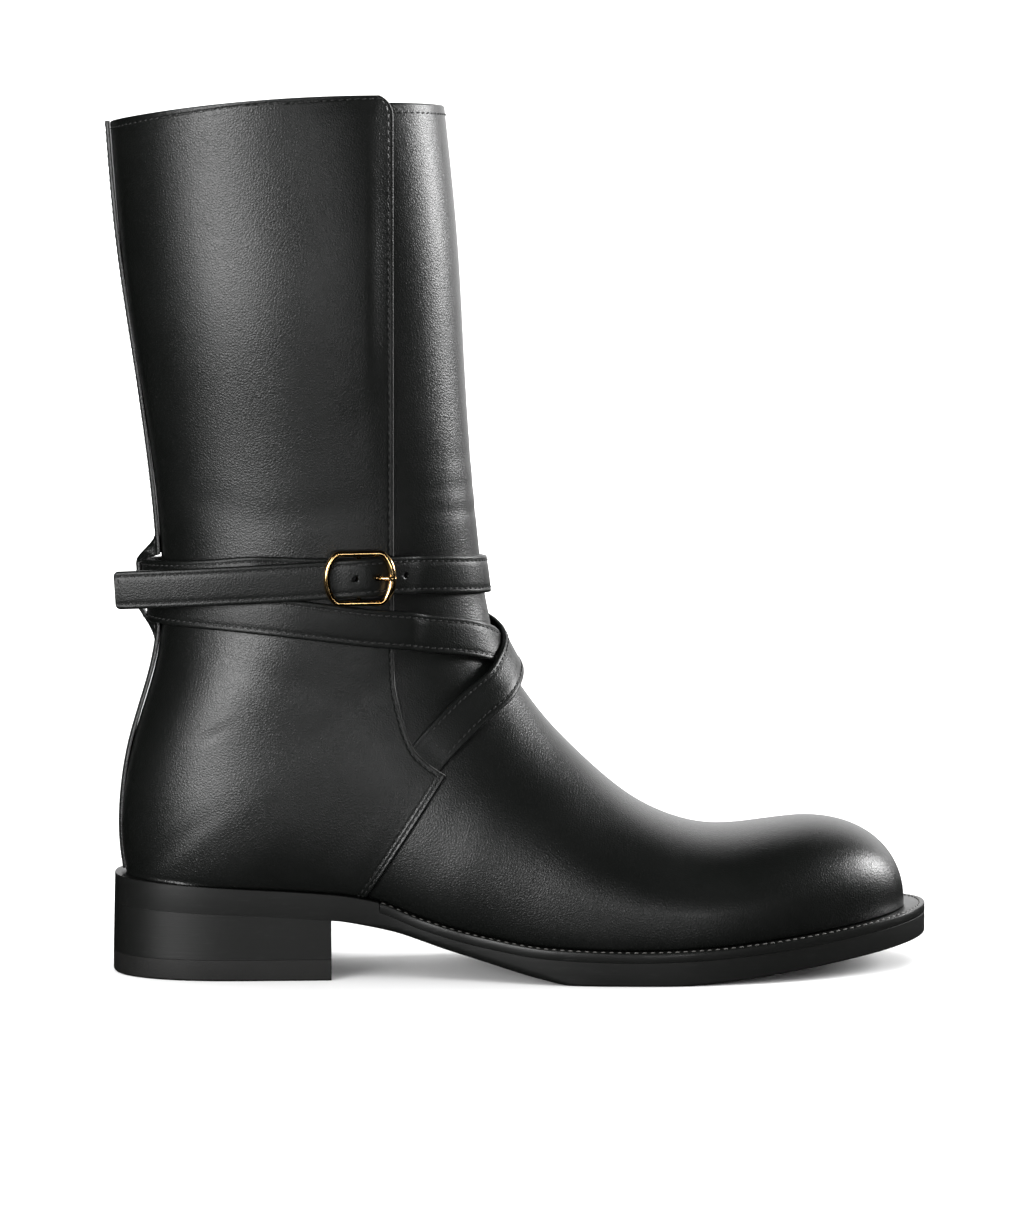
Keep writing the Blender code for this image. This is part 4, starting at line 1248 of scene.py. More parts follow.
def mirrored(half: Sequence[tuple[float, float]], left: int = 3) -> Array:
    """Both sides of a cross-section whose right half runs from the middle below to the middle above.

    Args:
        half: Places across and heights of the right half.
        left: How many points of the underside lie left of the middle.

    Returns:
        The closed cross-section, from its left edge along its underside.
    """
    right = np.array(half)
    whole = np.concatenate([right, right[-2:0:-1] * (-1.0, 1.0)])
    return np.roll(whole, left, axis=0)


@dataclass(frozen=True)
class Sole:
    """The welted sole: outlines of the foot stacked in layers, each with a growth and a height."""

    finishes: Finishes
    end_steps: int = 30
    step: float = 2.5
    toe_clear: float = 1.0
    edge_steps: int = 6
    seat_station: float = 7.88
    seat_step: float = 0.4
    edge: float = 0.9
    joint_edge: float = 0.14
    joint_line: float = 0.04
    waist: tuple = (46.0, 66.0, 112.0, 132.0)
    waist_bevel: float = 2.0
    welt_thick: float = 3.4
    welt_back_gap: float = 0.05
    welt_profile: tuple = (
        (-14.0, -3.4),
        (-6.0, -3.4),
        (-0.14, -3.4),
        (-0.04, -3.36),
        (0.0, -3.26),
        (0.0, -1.7),
        (0.0, -0.45),
        (-0.13, -0.13),
        (-0.45, 0.0),
        (-1.4, 0.05),
        (-2.0, -0.18),
        (-2.6, 0.05),
        (-6.0, 0.0),
        (-14.0, 0.0),
    )
    welt_stitch: tuple = (-2.0, -0.1)
    insole_thick: float = 2.5
    insole_clear: float = 2.9
    insole_edge: float = 0.5
    heel_breast: float = 39.0
    breast_ease: tuple = (-1.0, 4.0)
    heel_flare: float = 0.7
    seat_flare: float = 0.26
    top_piece_tall: float = 7.9
    heel_line: float = 0.06
    heel_rows: int = 13

    def seat_front(self) -> float:
        """Where the heel seat ends and the welt begins."""
        return float(FLOOR_X(self.seat_station))

    def places(self, plan: Plan, first: float = -math.inf, last: float = math.inf) -> Array:
        """Places from the heel's tip to the toe's, closest where the outline turns most.

        Args:
            plan: The outline.
            first: Where to start, if not at the heel.
            last: Where to stop, if not at the toe.

        Returns:
            Places along the foot.
        """
        share = np.sin(np.linspace(0.0, QUARTER_TURN, self.end_steps + 1))
        heel = PLAN.heel_round_from - (PLAN.heel_round_from - plan.heel) * share[::-1]
        toe = PLAN.toe_round_from + (plan.toe - PLAN.toe_round_from) * share
        middle = np.arange(PLAN.heel_round_from + self.step, PLAN.toe_round_from - self.toe_clear, self.step)
        seat = (self.seat_front() - self.seat_step, self.seat_front(), first, last)
        every = np.unique(np.concatenate([heel, middle, toe, seat]))
        return every[(every >= max(first, plan.heel)) & (every <= min(last, plan.toe))]

    def ring(self, xs: Array, grow: Any, height: Array, plan: Plan = SOLE_EDGE) -> Array:
        """A closed outline: the inner side from back to front, then the outer side back again.

        Args:
            xs: Places along the foot.
            grow: Growth in millimetres.
            height: Heights there.
            plan: The outline.

        Returns:
            Points of the ring.
        """
        x, middle, half = plan_outline(xs, np.broadcast_to(grow, xs.shape), plan)
        near = np.stack([x, middle + half, height], axis=1)
        far = np.stack([x, middle - half, height], axis=1)
        return np.concatenate([near, far[::-1]])

    def slab(self, name: str, rings: Sequence[Array], finishes: Sequence[bpy.types.Material],
             slots: tuple[int, int, int] = (0, 0, 0)) -> bpy.types.Object:
        """A solid through stacked outlines, closed below and above by strips across.

        Args:
            name: The piece's name.
            rings: Outlines from below.
            finishes: Materials.
            slots: Material slots of the wall, the underside and the top.

        Returns:
            The piece.
        """
        around = len(rings[0])
        wall = grid_quads(len(rings), around, closed=True)
        i = np.arange(around // 2 - 1)
        cap = np.stack([i, i + 1, around - 2 - i, around - 1 - i], axis=1)
        quads = np.concatenate([wall, cap, cap + (len(rings) - 1) * around])
        marks = np.repeat(slots, (len(wall), len(cap), len(cap)))
        return add_mesh(name, np.concatenate(rings), quads, finishes, marks)

    def rounded_rings(self, xs: Array, grow: Any, low: Array, radius: Any) -> list[Array]:
        """Rings up a lower edge: a quarter circle from the underside to the wall.

        Args:
            xs: Places along the foot.
            grow: Growth of the wall.
            low: Heights of the underside.
            radius: Radius of the edge.

        Returns:
            The rings, from below.
        """
        return [
            self.ring(xs, grow - radius * (1.0 - math.sin(swing)), low + radius * (1.0 - math.cos(swing)))
            for swing in np.linspace(0.0, QUARTER_TURN, self.edge_steps)
        ]

    def outsole_top(self, x: Array) -> Array:
        """The seat carries the upper itself; ahead of it the welt lies between."""
        drop = self.welt_thick + self.joint_line
        return FEATHER(x) - drop * smooth_step(self.seat_front() - self.seat_step, self.seat_front(), x)

    def outsole(self) -> None:
        """The outsole: a lower edge rounded by a quarter circle, wider at the waist, and a plain wall."""
        xs = self.places(SOLE_EDGE)
        back, full, fade, ahead = self.waist
        waist = smooth_step(back, full, xs) * (1.0 - smooth_step(fade, ahead, xs))
        behind, before = self.breast_ease
        free = smooth_step(self.heel_breast + behind, self.heel_breast + before, xs)
        radius = self.joint_edge / 2.0 + (self.edge - self.joint_edge / 2.0) * free + self.waist_bevel * waist
        low, high = UNDERSIDE(xs), self.outsole_top(xs)
        rings = self.rounded_rings(xs, self.seat_flare * (1.0 - free), low, radius)
        rings.append(self.ring(xs, 0.0, high - self.joint_edge))
        rings.append(self.ring(xs, -self.joint_edge, high))
        piece = self.slab("outsole", rings, (self.finishes.sole, self.finishes.under), (0, 1, 0))
        settle(piece, "sole_leather", "outsole")

    def welt_line(self, grow: float, level: float) -> Array:
        """A line of the welt, from the outer waist round the toe to the inner waist.

        Args:
            grow: How far outside the sole's edge it runs.
            level: Its height above the feather line.

        Returns:
            Points of the line.
        """
        xs = self.places(SOLE_EDGE, self.seat_front() + self.welt_back_gap)
        x, middle, half = plan_outline(xs, np.full_like(xs, grow), SOLE_EDGE)
        outer = np.stack([x, middle - half, FEATHER(x) + level], axis=1)
        inner = np.stack([x, middle + half, FEATHER(x) + level], axis=1)
        return np.concatenate([outer, inner[-2::-1]])

    def welt(self) -> None:
        """The welt: its cross-section, with a stitch groove, carried round the forefoot."""
        loops = np.stack([self.welt_line(*corner) for corner in self.welt_profile], axis=1)
        settle(add_mesh("welt", *loft(loops), (self.finishes.welt,)), "welt_leather", "welt")
        path = self.welt_line(*self.welt_stitch)
        stitches = Stitching(pitch=3.0, long=1.9, lean=0.0)
        row = stitches.row(path, np.broadcast_to((0.0, 0.0, 1.0), path.shape))
        settle(add_mesh("welt_stitches", *row, (self.finishes.welt_thread,)), "welt_leather")

    def heel(self) -> None:
        """The heel block, flared a little to the ground, and the rubber top piece below it."""
        xs = self.places(SOLE_EDGE, last=self.heel_breast)
        low = self.top_piece_tall + self.heel_line
        high = UNDERSIDE(xs)
        shares = np.linspace(0.0, 1.0, self.heel_rows)
        flares = self.heel_flare + (self.seat_flare - self.heel_flare) * shares
        rings = [self.ring(xs, flare, low + share * (high - low)) for flare, share in zip(flares, shares)]
        settle(self.slab("heel_block", rings, (self.finishes.sole,)), "sole_leather", "heel_block")
        flat = np.zeros_like(xs)
        rings = self.rounded_rings(xs, self.heel_flare, flat, self.edge)
        rings.append(self.ring(xs, self.heel_flare, flat + self.top_piece_tall - self.joint_edge))
        rings.append(self.ring(xs, self.heel_flare - self.joint_edge, flat + self.top_piece_tall))
        settle(self.slab("heel_top_piece", rings, (self.finishes.rubber,)), "heel_rubber", "heel_top_piece")

    def insole(self) -> None:
        """The insole: the feather line's outline, drawn in by the wall, as a flat layer."""
        xs = self.places(INSOLE_EDGE)
        low = FEATHER(xs) + LAST.fit_gap
        bevel = self.insole_edge
        edges = ((0.0, 0.0), (0.0, self.insole_thick - bevel), (-bevel, self.insole_thick))
        rings = [self.ring(xs, grow - self.insole_clear, low + level, INSOLE_EDGE) for grow, level in edges]
        settle(self.slab("insole", rings, (self.finishes.insole,)), "insole_leather", "insole")

    def build(self) -> None:
        """Builds every piece of the sole."""
        self.outsole()
        self.welt()
        self.heel()
        self.insole()


@dataclass(frozen=True)
class Upper:
    """The vamp and shaft: one hollow wall of calf with its lining, open at the collar."""

    finishes: Finishes
    wall: float = 1.8
    columns: int = 161
    rim: float = 0.7
    collar_stitch: float = 3.0
    collar_rate: float = 43.0
    collar_turns: tuple = (-0.52, 0.52, 80)
    collar_lift: float = 0.02
    toe_run: tuple = (2.2, 34, 2.0)
    row_runs: tuple = ((2.2, 8.0, 54), (8.0, 11.0, 46), (11.0, 18.9, 74), (18.9, 19.0, 9))
    creases: tuple = (
        Crease(88.0, 172.0, 60.0, 2.2, -4.0, 0.16),
        Crease(88.0, 181.0, 60.0, 2.6, 3.0, 0.14),
        Crease(88.0, 192.0, 60.0, 3.2, -2.0, 0.12),
    )

    def stations(self) -> Array:
        """Stations of the rows, closest at the toe and the collar."""
        runs = [np.linspace(*run)[1:] for run in self.row_runs]
        return np.concatenate([eased(*self.toe_run)] + runs)

    def build(self) -> None:
        """Builds the wall: the last itself, less soft creases, and the same drawn in by the wall."""
        stations = self.stations()
        station, turn = stations[:, None], np.linspace(-1.0, 1.0, self.columns)[None]
        below = (LAST.collar_station - station) * self.collar_rate
        rounded = self.rim * (1.0 - edge_round(below, self.rim))
        lift = -crease_depth(last_point(station, turn), self.creases) - rounded
        outer = last_point(station, turn, lift)
        inner = last_point(station, turn, rounded - self.wall)
        rows, cols = len(stations), self.columns
        size = rows * cols
        index = np.arange(size).reshape(rows, cols)
        heel_row = int(np.argmin(np.abs(stations - LAST.heel_station)))
        floor = [wall_quads(index[: heel_row + 1, edge], size) for edge in (0, -1)]
        rim = wall_quads(index[-1], size)
        shells = [grid_quads(rows, cols), grid_quads(rows, cols, size)]
        quads = np.concatenate(shells + floor + [rim])
        slots = np.repeat((0, 1, 0), (len(shells[0]), len(shells[1]), len(quads) - 2 * len(shells[0])))
        points = np.concatenate([outer.reshape(-1, 3), inner.reshape(-1, 3)])
        piece = add_mesh("upper", points, quads, (self.finishes.calf, self.finishes.lining), slots)
        settle(piece, "black_calf", "upper")
        self.stitch_collar()

    def stitch_collar(self) -> None:
        """A row of stitches below the collar of the front panel."""
        turn = np.linspace(*self.collar_turns)
        station = np.full_like(turn, LAST.collar_station - self.collar_stitch / self.collar_rate)
        row = Stitching().row(last_point(station, turn, self.collar_lift), last_normal(station, turn))
        settle(add_mesh("collar_stitches", *row, (self.finishes.thread,)), "black_calf")


def level_line(distance: Array, at: float, *values: Array) -> list[Array]:
    """Values where a distance, growing down the rows, reaches a level in each column.

    Args:
        distance: Distances on a grid.
        at: The level.
        values: Other values on that grid.

    Returns:
        Each value at the crossing, one for each column.
    """
    row = np.clip((distance >= at).argmax(axis=0), 1, len(distance) - 1)
    col = np.arange(distance.shape[1])
    low, high = distance[row - 1, col], distance[row, col]
    share = (at - low) / np.maximum(high - low, 1e-9)
    return [value[row - 1, col] + share * (value[row, col] - value[row - 1, col]) for value in values]


@dataclass(frozen=True)
class Quarter:
    """An outer panel, from the back seam to its free front edge, laid over the upper."""

    finishes: Finishes
    side: Side
    inner: float = 0.3
    outer: float = 1.6
    above_collar: float = 2.5
    seam_gap: float = 0.25
    corner_top: float = 324.6
    corner_radius: float = 8.0
    round_edge: float = 0.8
    # Width of the painted highlight along the free front edge.
    edge_highlight_width: float = 0.6
    groove: float = 0.2
    groove_wide: float = 0.4
    seam_rows: tuple = (1.6, 3.1)
    front_row: float = 2.0
    collar_row: float = 3.0
    stitch_clear: float = 1.4
    crease_fade: tuple = (2.0, 12.0)
    probe_step: float = 0.01
    probe_turn: float = -0.5
    search_steps: int = 500
    seam_run: tuple = (0.34, 30, 1.8)
    heel_rows: int = 44
    shaft_rows: int = 88
    collar_run: tuple = (0.14, 19, 1.6)
    edge_places: tuple = (4.4, 3.8, 3.3, 2.9, 2.6, 2.3, 2.0, 1.7, 1.4, 1.1, 0.8, 0.55, 0.35, 0.18, 0.06, 0.0)
    strips: int = 92
    front_edge: tuple = (
        (75.9, 80.9),
        (80.0, 74.6),
        (85.6, 69.0),
        (92.0, 66.1),
        (101.0, 63.8),
        (110.0, 62.2),
        (121.0, 61.8),
        (330.0, 61.8),
    )
    creases: tuple = (
        Crease(-2.0, 52.0, 46.0, 24.0, 0.0, -2.2),
        Crease(22.0, 240.0, 60.0, 38.0, 0.0, -1.8),
        Crease(52.0, 285.0, 26.0, 46.0, 0.0, -1.1),
        Crease(53.0, 211.0, 14.0, 7.0, 62.0, 0.35),
        Crease(-5.0, 91.0, 7.0, 1.4, 28.0, 0.22),
        Crease(-3.0, 95.0, 6.0, 1.6, 34.0, -0.10),
        Crease(30.0, 172.0, 26.0, 6.0, 8.0, 0.30),
        Crease(-6.0, 176.0, 18.0, 5.0, -10.0, 0.22),
        Crease(20.0, 112.0, 24.0, 6.0, -14.0, 0.28),
    )

    def front(self, height: Array) -> Array:
        """Where the front edge stands, with its rounded top corner.

        Args:
            height: Heights above the ground.

        Returns:
            Places along the foot.
        """
        into = np.clip(height - (self.corner_top - self.corner_radius), 0.0, self.corner_radius)
        corner = self.corner_radius - np.sqrt(self.corner_radius**2 - into**2)
        curve = PLAN.curve(self.front_edge, 1)
        return curve(np.clip(height, self.front_edge[0][0], self.front_edge[-1][0])) - corner

    def stations(self) -> Array:
        """Stations of the rows, closest at the vamp seam and the collar.

        Returns:
            Stations, up to a little above the collar.
        """
        probe = np.array([LAST.collar_station - self.probe_step, LAST.collar_station])
        low, high = last_point(probe, self.probe_turn)[:, 2]
        top = LAST.collar_station + self.above_collar * self.probe_step / (high - low)
        seam = LAST.seam_station + eased(*self.seam_run)
        collar = top - eased(*self.collar_run)[::-1]
        heel = np.linspace(seam[-1], LAST.heel_station, self.heel_rows)
        shaft = np.linspace(LAST.heel_station, collar[0], self.shaft_rows)
        return np.concatenate([seam, heel[1:], shaft[1:], collar[1:]])

    def edge_turn(self, stations: Array) -> tuple[Array, Array]:
        """The turn at which each section meets the front edge, and the panel's width there.

        Args:
            stations: Stations of the sections.

        Returns:
            Turns and widths.
        """
        fine = np.linspace(-1.0, 0.0, self.search_steps)
        points = last_point(stations[:, None], fine[None])
        ahead = points[..., 0] - self.front(points[..., 2])
        first = (ahead > 0.0).argmax(axis=1)
        row = np.arange(len(stations))
        before, after = ahead[row, first - 1], ahead[row, first]
        step = np.linalg.norm(np.diff(points, axis=1), axis=2)
        width = np.where(np.arange(len(fine) - 1)[None] < first[:, None], step, 0.0).sum(axis=1)
        return fine[first - 1] - before / (after - before) * (fine[1] - fine[0]), width

    def grid(self) -> tuple[Array, Array]:
        """The panel's points on the outer side, row by row from the back seam to the front edge.

        Returns:
            Stations and turns.
        """
        stations = self.stations()
        edge, width = self.edge_turn(stations)
        seam = LAST.lower_share * np.arcsin(self.seam_gap / SECTION["half"](stations)) / QUARTER_TURN - 1.0
        start = np.where(stations < LAST.heel_station, -1.0, seam)
        near = 1.0 - np.array(self.edge_places)[None] / width[:, None]
        plain = np.linspace(0.0, 1.0, self.strips)[None, :-1] * near[:, :1]
        share = np.concatenate([plain, near], axis=1)
        turns = start[:, None] + (edge - start)[:, None] * share
        return np.broadcast_to(stations[:, None], turns.shape), turns

    def build(self) -> None:
        """Builds the panel: two heights over one grid, the outer rounded at its edges and grooved."""
        station, turn = self.grid()
        turn = turn * -self.side.value
        plain = last_point(station, turn, self.outer)
        across = np.linalg.norm(np.diff(plain, axis=1), axis=2)
        along = np.linalg.norm(np.diff(plain, axis=0), axis=2)
        none = np.zeros((len(plain), 1)), np.zeros((1, plain.shape[1]))
        to_front = np.concatenate([np.cumsum(across[:, ::-1], axis=1)[:, ::-1], none[0]], axis=1)
        to_seam = np.concatenate([none[1], np.cumsum(along, axis=0)])
        to_top = np.concatenate([np.cumsum(along[::-1], axis=0)[::-1], none[1]])
        nearest = np.minimum(np.minimum(to_front, to_seam), to_top)
        grooves = sum(hump(to_seam, row, self.groove_wide) for row in self.seam_rows)
        grooves = grooves + hump(to_front, self.front_row, self.groove_wide) * (to_seam > self.seam_rows[-1])
        grooves = grooves + hump(to_top, self.collar_row, self.groove_wide) * (to_front > self.front_row)
        lift = self.inner + (self.outer - self.inner) * edge_round(nearest, self.round_edge)
        lift = lift - self.groove * np.minimum(grooves, 1.0) - self.soft_creases(plain, nearest)
        layers = (last_point(station, turn, self.inner), last_point(station, turn, lift))
        rows, cols = turn.shape
        shells = [grid_quads(rows, cols), grid_quads(rows, cols, rows * cols)]
        rim = border_quads(rows, cols)
        slots = np.zeros(2 * len(shells[0]) + len(rim), int)
        # Painted highlight: outer faces this close to the free front edge take the light grey edge finish.
        slots[len(shells[0]) : 2 * len(shells[0])] = (to_front[:-1, :-1] < self.edge_highlight_width).ravel()
        points = np.concatenate([layer.reshape(-1, 3) for layer in layers])
        name = f"quarter_{self.side.name.lower()}"
        finishes = (self.finishes.calf, self.finishes.cut_edge)
        settle(add_mesh(name, points, np.concatenate(shells + [rim]), finishes, slots), "black_calf", name)
        self.stitch(name, station, turn, to_front, to_seam, to_top)

    def soft_creases(self, points: Array, nearest: Array) -> Array:
        """Depth of the panel's creases, which fade out before its edges."""
        return crease_depth(points, self.creases) * smooth_step(*self.crease_fade, nearest)

    def stitch(self, name: str, station: Array, turn: Array, to_front: Array, to_seam: Array,
               to_top: Array) -> None:
        """Stitches along the vamp seam, the free front edge and the collar.

        Args:
            name: The panel's name.
            station: Stations of the panel's grid.
            turn: Turns of the panel's grid.
            to_front: Distances from the front edge.
            to_seam: Distances from the vamp seam.
            to_top: Distances from the collar.
        """
        lines = [level_line(to_seam, row, station, turn, to_front) for row in self.seam_rows]
        lines.append(level_line(to_top[::-1], self.collar_row, station[::-1], turn[::-1], to_front[::-1]))
        flipped = [grid.T[::-1] for grid in (to_front, station, turn, np.minimum(to_seam, to_top))]
        lines.append(level_line(flipped[0], self.front_row, *flipped[1:]))
        parts = []
        for line_station, line_turn, clear in lines:
            keep = clear > self.stitch_clear
            at = line_station[keep], line_turn[keep]
            level = self.outer - self.groove
            parts.append(Stitching().row(last_point(*at, level), last_normal(*at, level)))
        settle(add_mesh(f"{name}_stitches", *joined(parts), (self.finishes.thread,)), "black_calf")


@dataclass(frozen=True)
class BackStrip:
    """The strip over the back seam, bowed out at the ankle as a loop for the straps."""

    finishes: Finishes
    half: float = 5.5
    inner: float = 2.2
    low_station: float = 11.06
    loop_low: float = 123.0
    loop_high: float = 162.5
    loop_bow: float = 7.6
    loop_low_end: float = 14.0
    loop_high_end: float = 9.0
    slot: tuple = (129.0, 131.0, 153.4, 155.4)
    sewn: tuple = (1.5, 5.2)
    rows: int = 190
    stitch_in: float = 1.5
    stitch_level: float = 1.16
    half_profile: tuple = (
        (0.0, 0.0),
        (2.6, 0.0),
        (5.2, 0.0),
        (5.5, 0.25),
        (5.5, 0.85),
        (5.36, 1.12),
        (5.0, 1.28),
        (4.45, 1.28),
        (4.0, 1.14),
        (3.55, 1.28),
        (1.8, 1.34),
        (0.0, 1.36),
    )

    def ramp(self, into: Array, end: float) -> Array:
        """How far the loop has bowed out at a height into its end: nearly straight, with soft corners."""
        return (np.clip(into / end, 0.0, 1.0) + smooth_step(0.0, end, into)) / 2.0

    def surface(self, across: Array, height: Array) -> tuple[Array, Array]:
        """Points and normals of the strip: the back of the last, raised and bowed out at the ankle.

        Its edges stay sewn down but for the slot that the straps pass through.

        Args:
            across: Places across the strip.
            height: Heights above its underside.

        Returns:
            Points and normals, one row for each station.
        """
        quarter = Quarter(self.finishes, Side.LATERAL)
        stations = np.linspace(self.low_station, quarter.stations()[-1], self.rows)
        level = BACK_Z(stations)
        bow = self.loop_bow * self.ramp(level - self.loop_low, self.loop_low_end)
        bow = bow * self.ramp(self.loop_high - level, self.loop_high_end)
        enter, full, fade, leave = self.slot
        slot = smooth_step(enter, full, level) * (1.0 - smooth_step(fade, leave, level))
        sewn = smooth_step(*self.sewn, np.abs(across))[None] * (1.0 - slot)[:, None]
        lift = self.inner + height[None]
        station = np.broadcast_to(stations[:, None], (self.rows, len(across)))
        turn = seam_turns(station, np.broadcast_to(across[None], station.shape), lift)
        back = last_normal(stations, np.ones_like(stations), self.inner)
        bowed = (bow[:, None] * (1.0 - sewn))[..., None] * back[:, None]
        points = last_point(station, turn, lift) + bowed
        return points, last_normal(station, turn, lift)

    def build(self) -> None:
        """Builds the strip and its two rows of stitches."""
        across, height = mirrored(self.half_profile).T
        loops = self.surface(across, height)[0]
        settle(add_mesh("back_strip", *loft(loops), (self.finishes.calf,)), "black_calf", "back_strip")
        edge = self.half - self.stitch_in
        path, normals = self.surface(np.array([-edge, edge]), np.full(2, self.stitch_level))
        rows = [Stitching().row(path[:, i], normals[:, i]) for i in (0, 1)]
        settle(add_mesh("back_strip_stitches", *joined(rows), (self.finishes.thread,)), "black_calf")


class Lie(NamedTuple):
    """How a strap lies on the last: its length so far, places and directions."""

    length: Array
    angle: Array
    station: Array
    turn: Array
    lift: Array
    centre: Array
    along: Array
    out: Array


@dataclass(frozen=True)
class Strap:
    """A strap laid round the ankle: a rounded, stitched cross-section carried along its line."""

    finishes: Finishes
    name: str
    rows: tuple
    free_end: float = 0.0
    end_bend: float = 250.0
    end_steps: int = 46
    corner: float = 1.8
    corner_steps: int = 8
    half: float = 7.0
    step: float = 1.5
    stitch_in: float = 1.9
    stitch_level: float = 1.66
    stitch_columns: int = 9
    end_inset: int = 4
    tucked: int = 7
    half_profile: tuple = (
        (0.0, 0.0),
        (3.4, 0.0),
        (6.75, 0.0),
        (7.0, 0.4),
        (7.0, 1.15),
        (6.86, 1.5),
        (6.5, 1.74),
        (5.7, 1.78),
        (5.1, 1.6),
        (4.5, 1.78),
        (3.0, 1.86),
        (1.5, 1.9),
        (0.0, 1.92),
    )

    def lay(self) -> Lie:
        """Lays the strap's rows on the last as one smooth line with even steps.

        Returns:
            How the strap lies.
        """
        table = columns("angle z lift", self.rows)
        angle, height, lift = table["angle"], table["z"], table["lift"]
        station, turn = locate(angle, height, lift, *first_guess(angle, height))
        run = run_length(last_point(station, turn, lift))
        length = np.linspace(0.0, run[-1], round(run[-1] / self.step) + 1)
        angle, height = Curve(run, angle)(length), Curve(run, height)(length)
        lift = Curve(run, lift, steady=True)(length)
        station, turn = locate(angle, height, lift, *first_guess(angle, height))
        centre = last_point(station, turn, lift)
        along = unit(np.gradient(centre, axis=0))
        return Lie(length, angle, station, turn, lift, centre, along, last_normal(station, turn, lift))

    def end_lengths(self) -> Array:
        """Lengths along the free end, closest at its rounded corners.

        Returns:
            Lengths from where the strap leaves the leg.
        """
        plain = np.linspace(0.0, self.free_end - self.corner, self.end_steps)[1:]
        share = np.sin(np.linspace(0.0, QUARTER_TURN, self.corner_steps))[1:]
        return np.concatenate([plain, plain[-1] + self.corner * share])

    def surface(self, lie: Lie, across: Array, height: Array) -> tuple[Array, Array]:
        """Points and normals of the strap, which bends to the last across its width too.

        The free end carries the last cross-section on in a wide circle, off the leg.

        Args:
            lie: How the strap lies.
            across: Places across the strap.
            height: Heights above its underside.

        Returns:
            Points and normals, one row for each step.
        """
        side = unit(np.cross(lie.out, lie.along))
        shape = (len(lie.length), len(across))
        angle, level = polar(lie.centre[:, None] + across[None, :, None] * side[:, None])
        start = [np.broadcast_to(value[:, None], shape) for value in (lie.lift, lie.station, lie.turn)]
        station, turn = locate(angle, level, *start)
        normals = last_normal(station, turn, start[0])
        points = last_point(station, turn, start[0]) + height[None, :, None] * normals
        if self.free_end:
            lengths = self.end_lengths()
            turned = (lengths / self.end_bend)[:, None]
            moved = self.end_bend * (np.sin(turned) * lie.along[-1] - (1.0 - np.cos(turned)) * lie.out[-1])
            into = edge_round(self.free_end - lengths, self.corner)
            drawn = self.corner / self.half * (into - 1.0)
            moved = moved[:, None] + (drawn[:, None] * across)[..., None] * side[-1]
            points = np.concatenate([points, points[-1] + moved])
            normals = np.concatenate([normals, np.repeat(normals[-1:], len(lengths), axis=0)])
        return points, normals

    def build(self, lie: Lie) -> bpy.types.Object:
        """Builds the strap and the stitches along its edges.

        Args:
            lie: How the strap lies.

        Returns:
            The strap.
        """
        across, height = mirrored(self.half_profile).T
        loops = self.surface(lie, across, height)[0]
        piece = add_mesh(self.name, *loft(loops), (self.finishes.strap,))
        settle(piece, "black_strap", self.name)
        edge = self.half - self.stitch_in
        across = np.linspace(-edge, edge, self.stitch_columns)
        path, normals = self.surface(lie, across, np.full_like(across, self.stitch_level))
        inset = self.end_inset if self.free_end else 1
        stitches = Stitching(pitch=2.7, long=1.95)
        first = self.tucked
        parts = [stitches.row(path[first:-inset, i], normals[first:-inset, i]) for i in (0, -1)]
        parts.append(stitches.row(path[first], normals[first]))
        if self.free_end:
            last = -2 * self.end_inset
            parts.append(stitches.row(path[last], normals[last]))
        settle(add_mesh(f"{self.name}_stitches", *joined(parts), (self.finishes.thread,)), "black_strap")
        return piece


class Axes(NamedTuple):
    """A place on the leg with its forward, up and out directions."""

    origin: Array
    forward: Array
    up: Array
    out: Array

    def place(self, forward: Any, up: Any, out: Any) -> Array:
        """Points from lengths along the three directions."""
        forward, up, out = (np.asarray(size, float)[..., None] for size in (forward, up, out))
        return self.origin + forward * self.forward + up * self.up + out * self.out


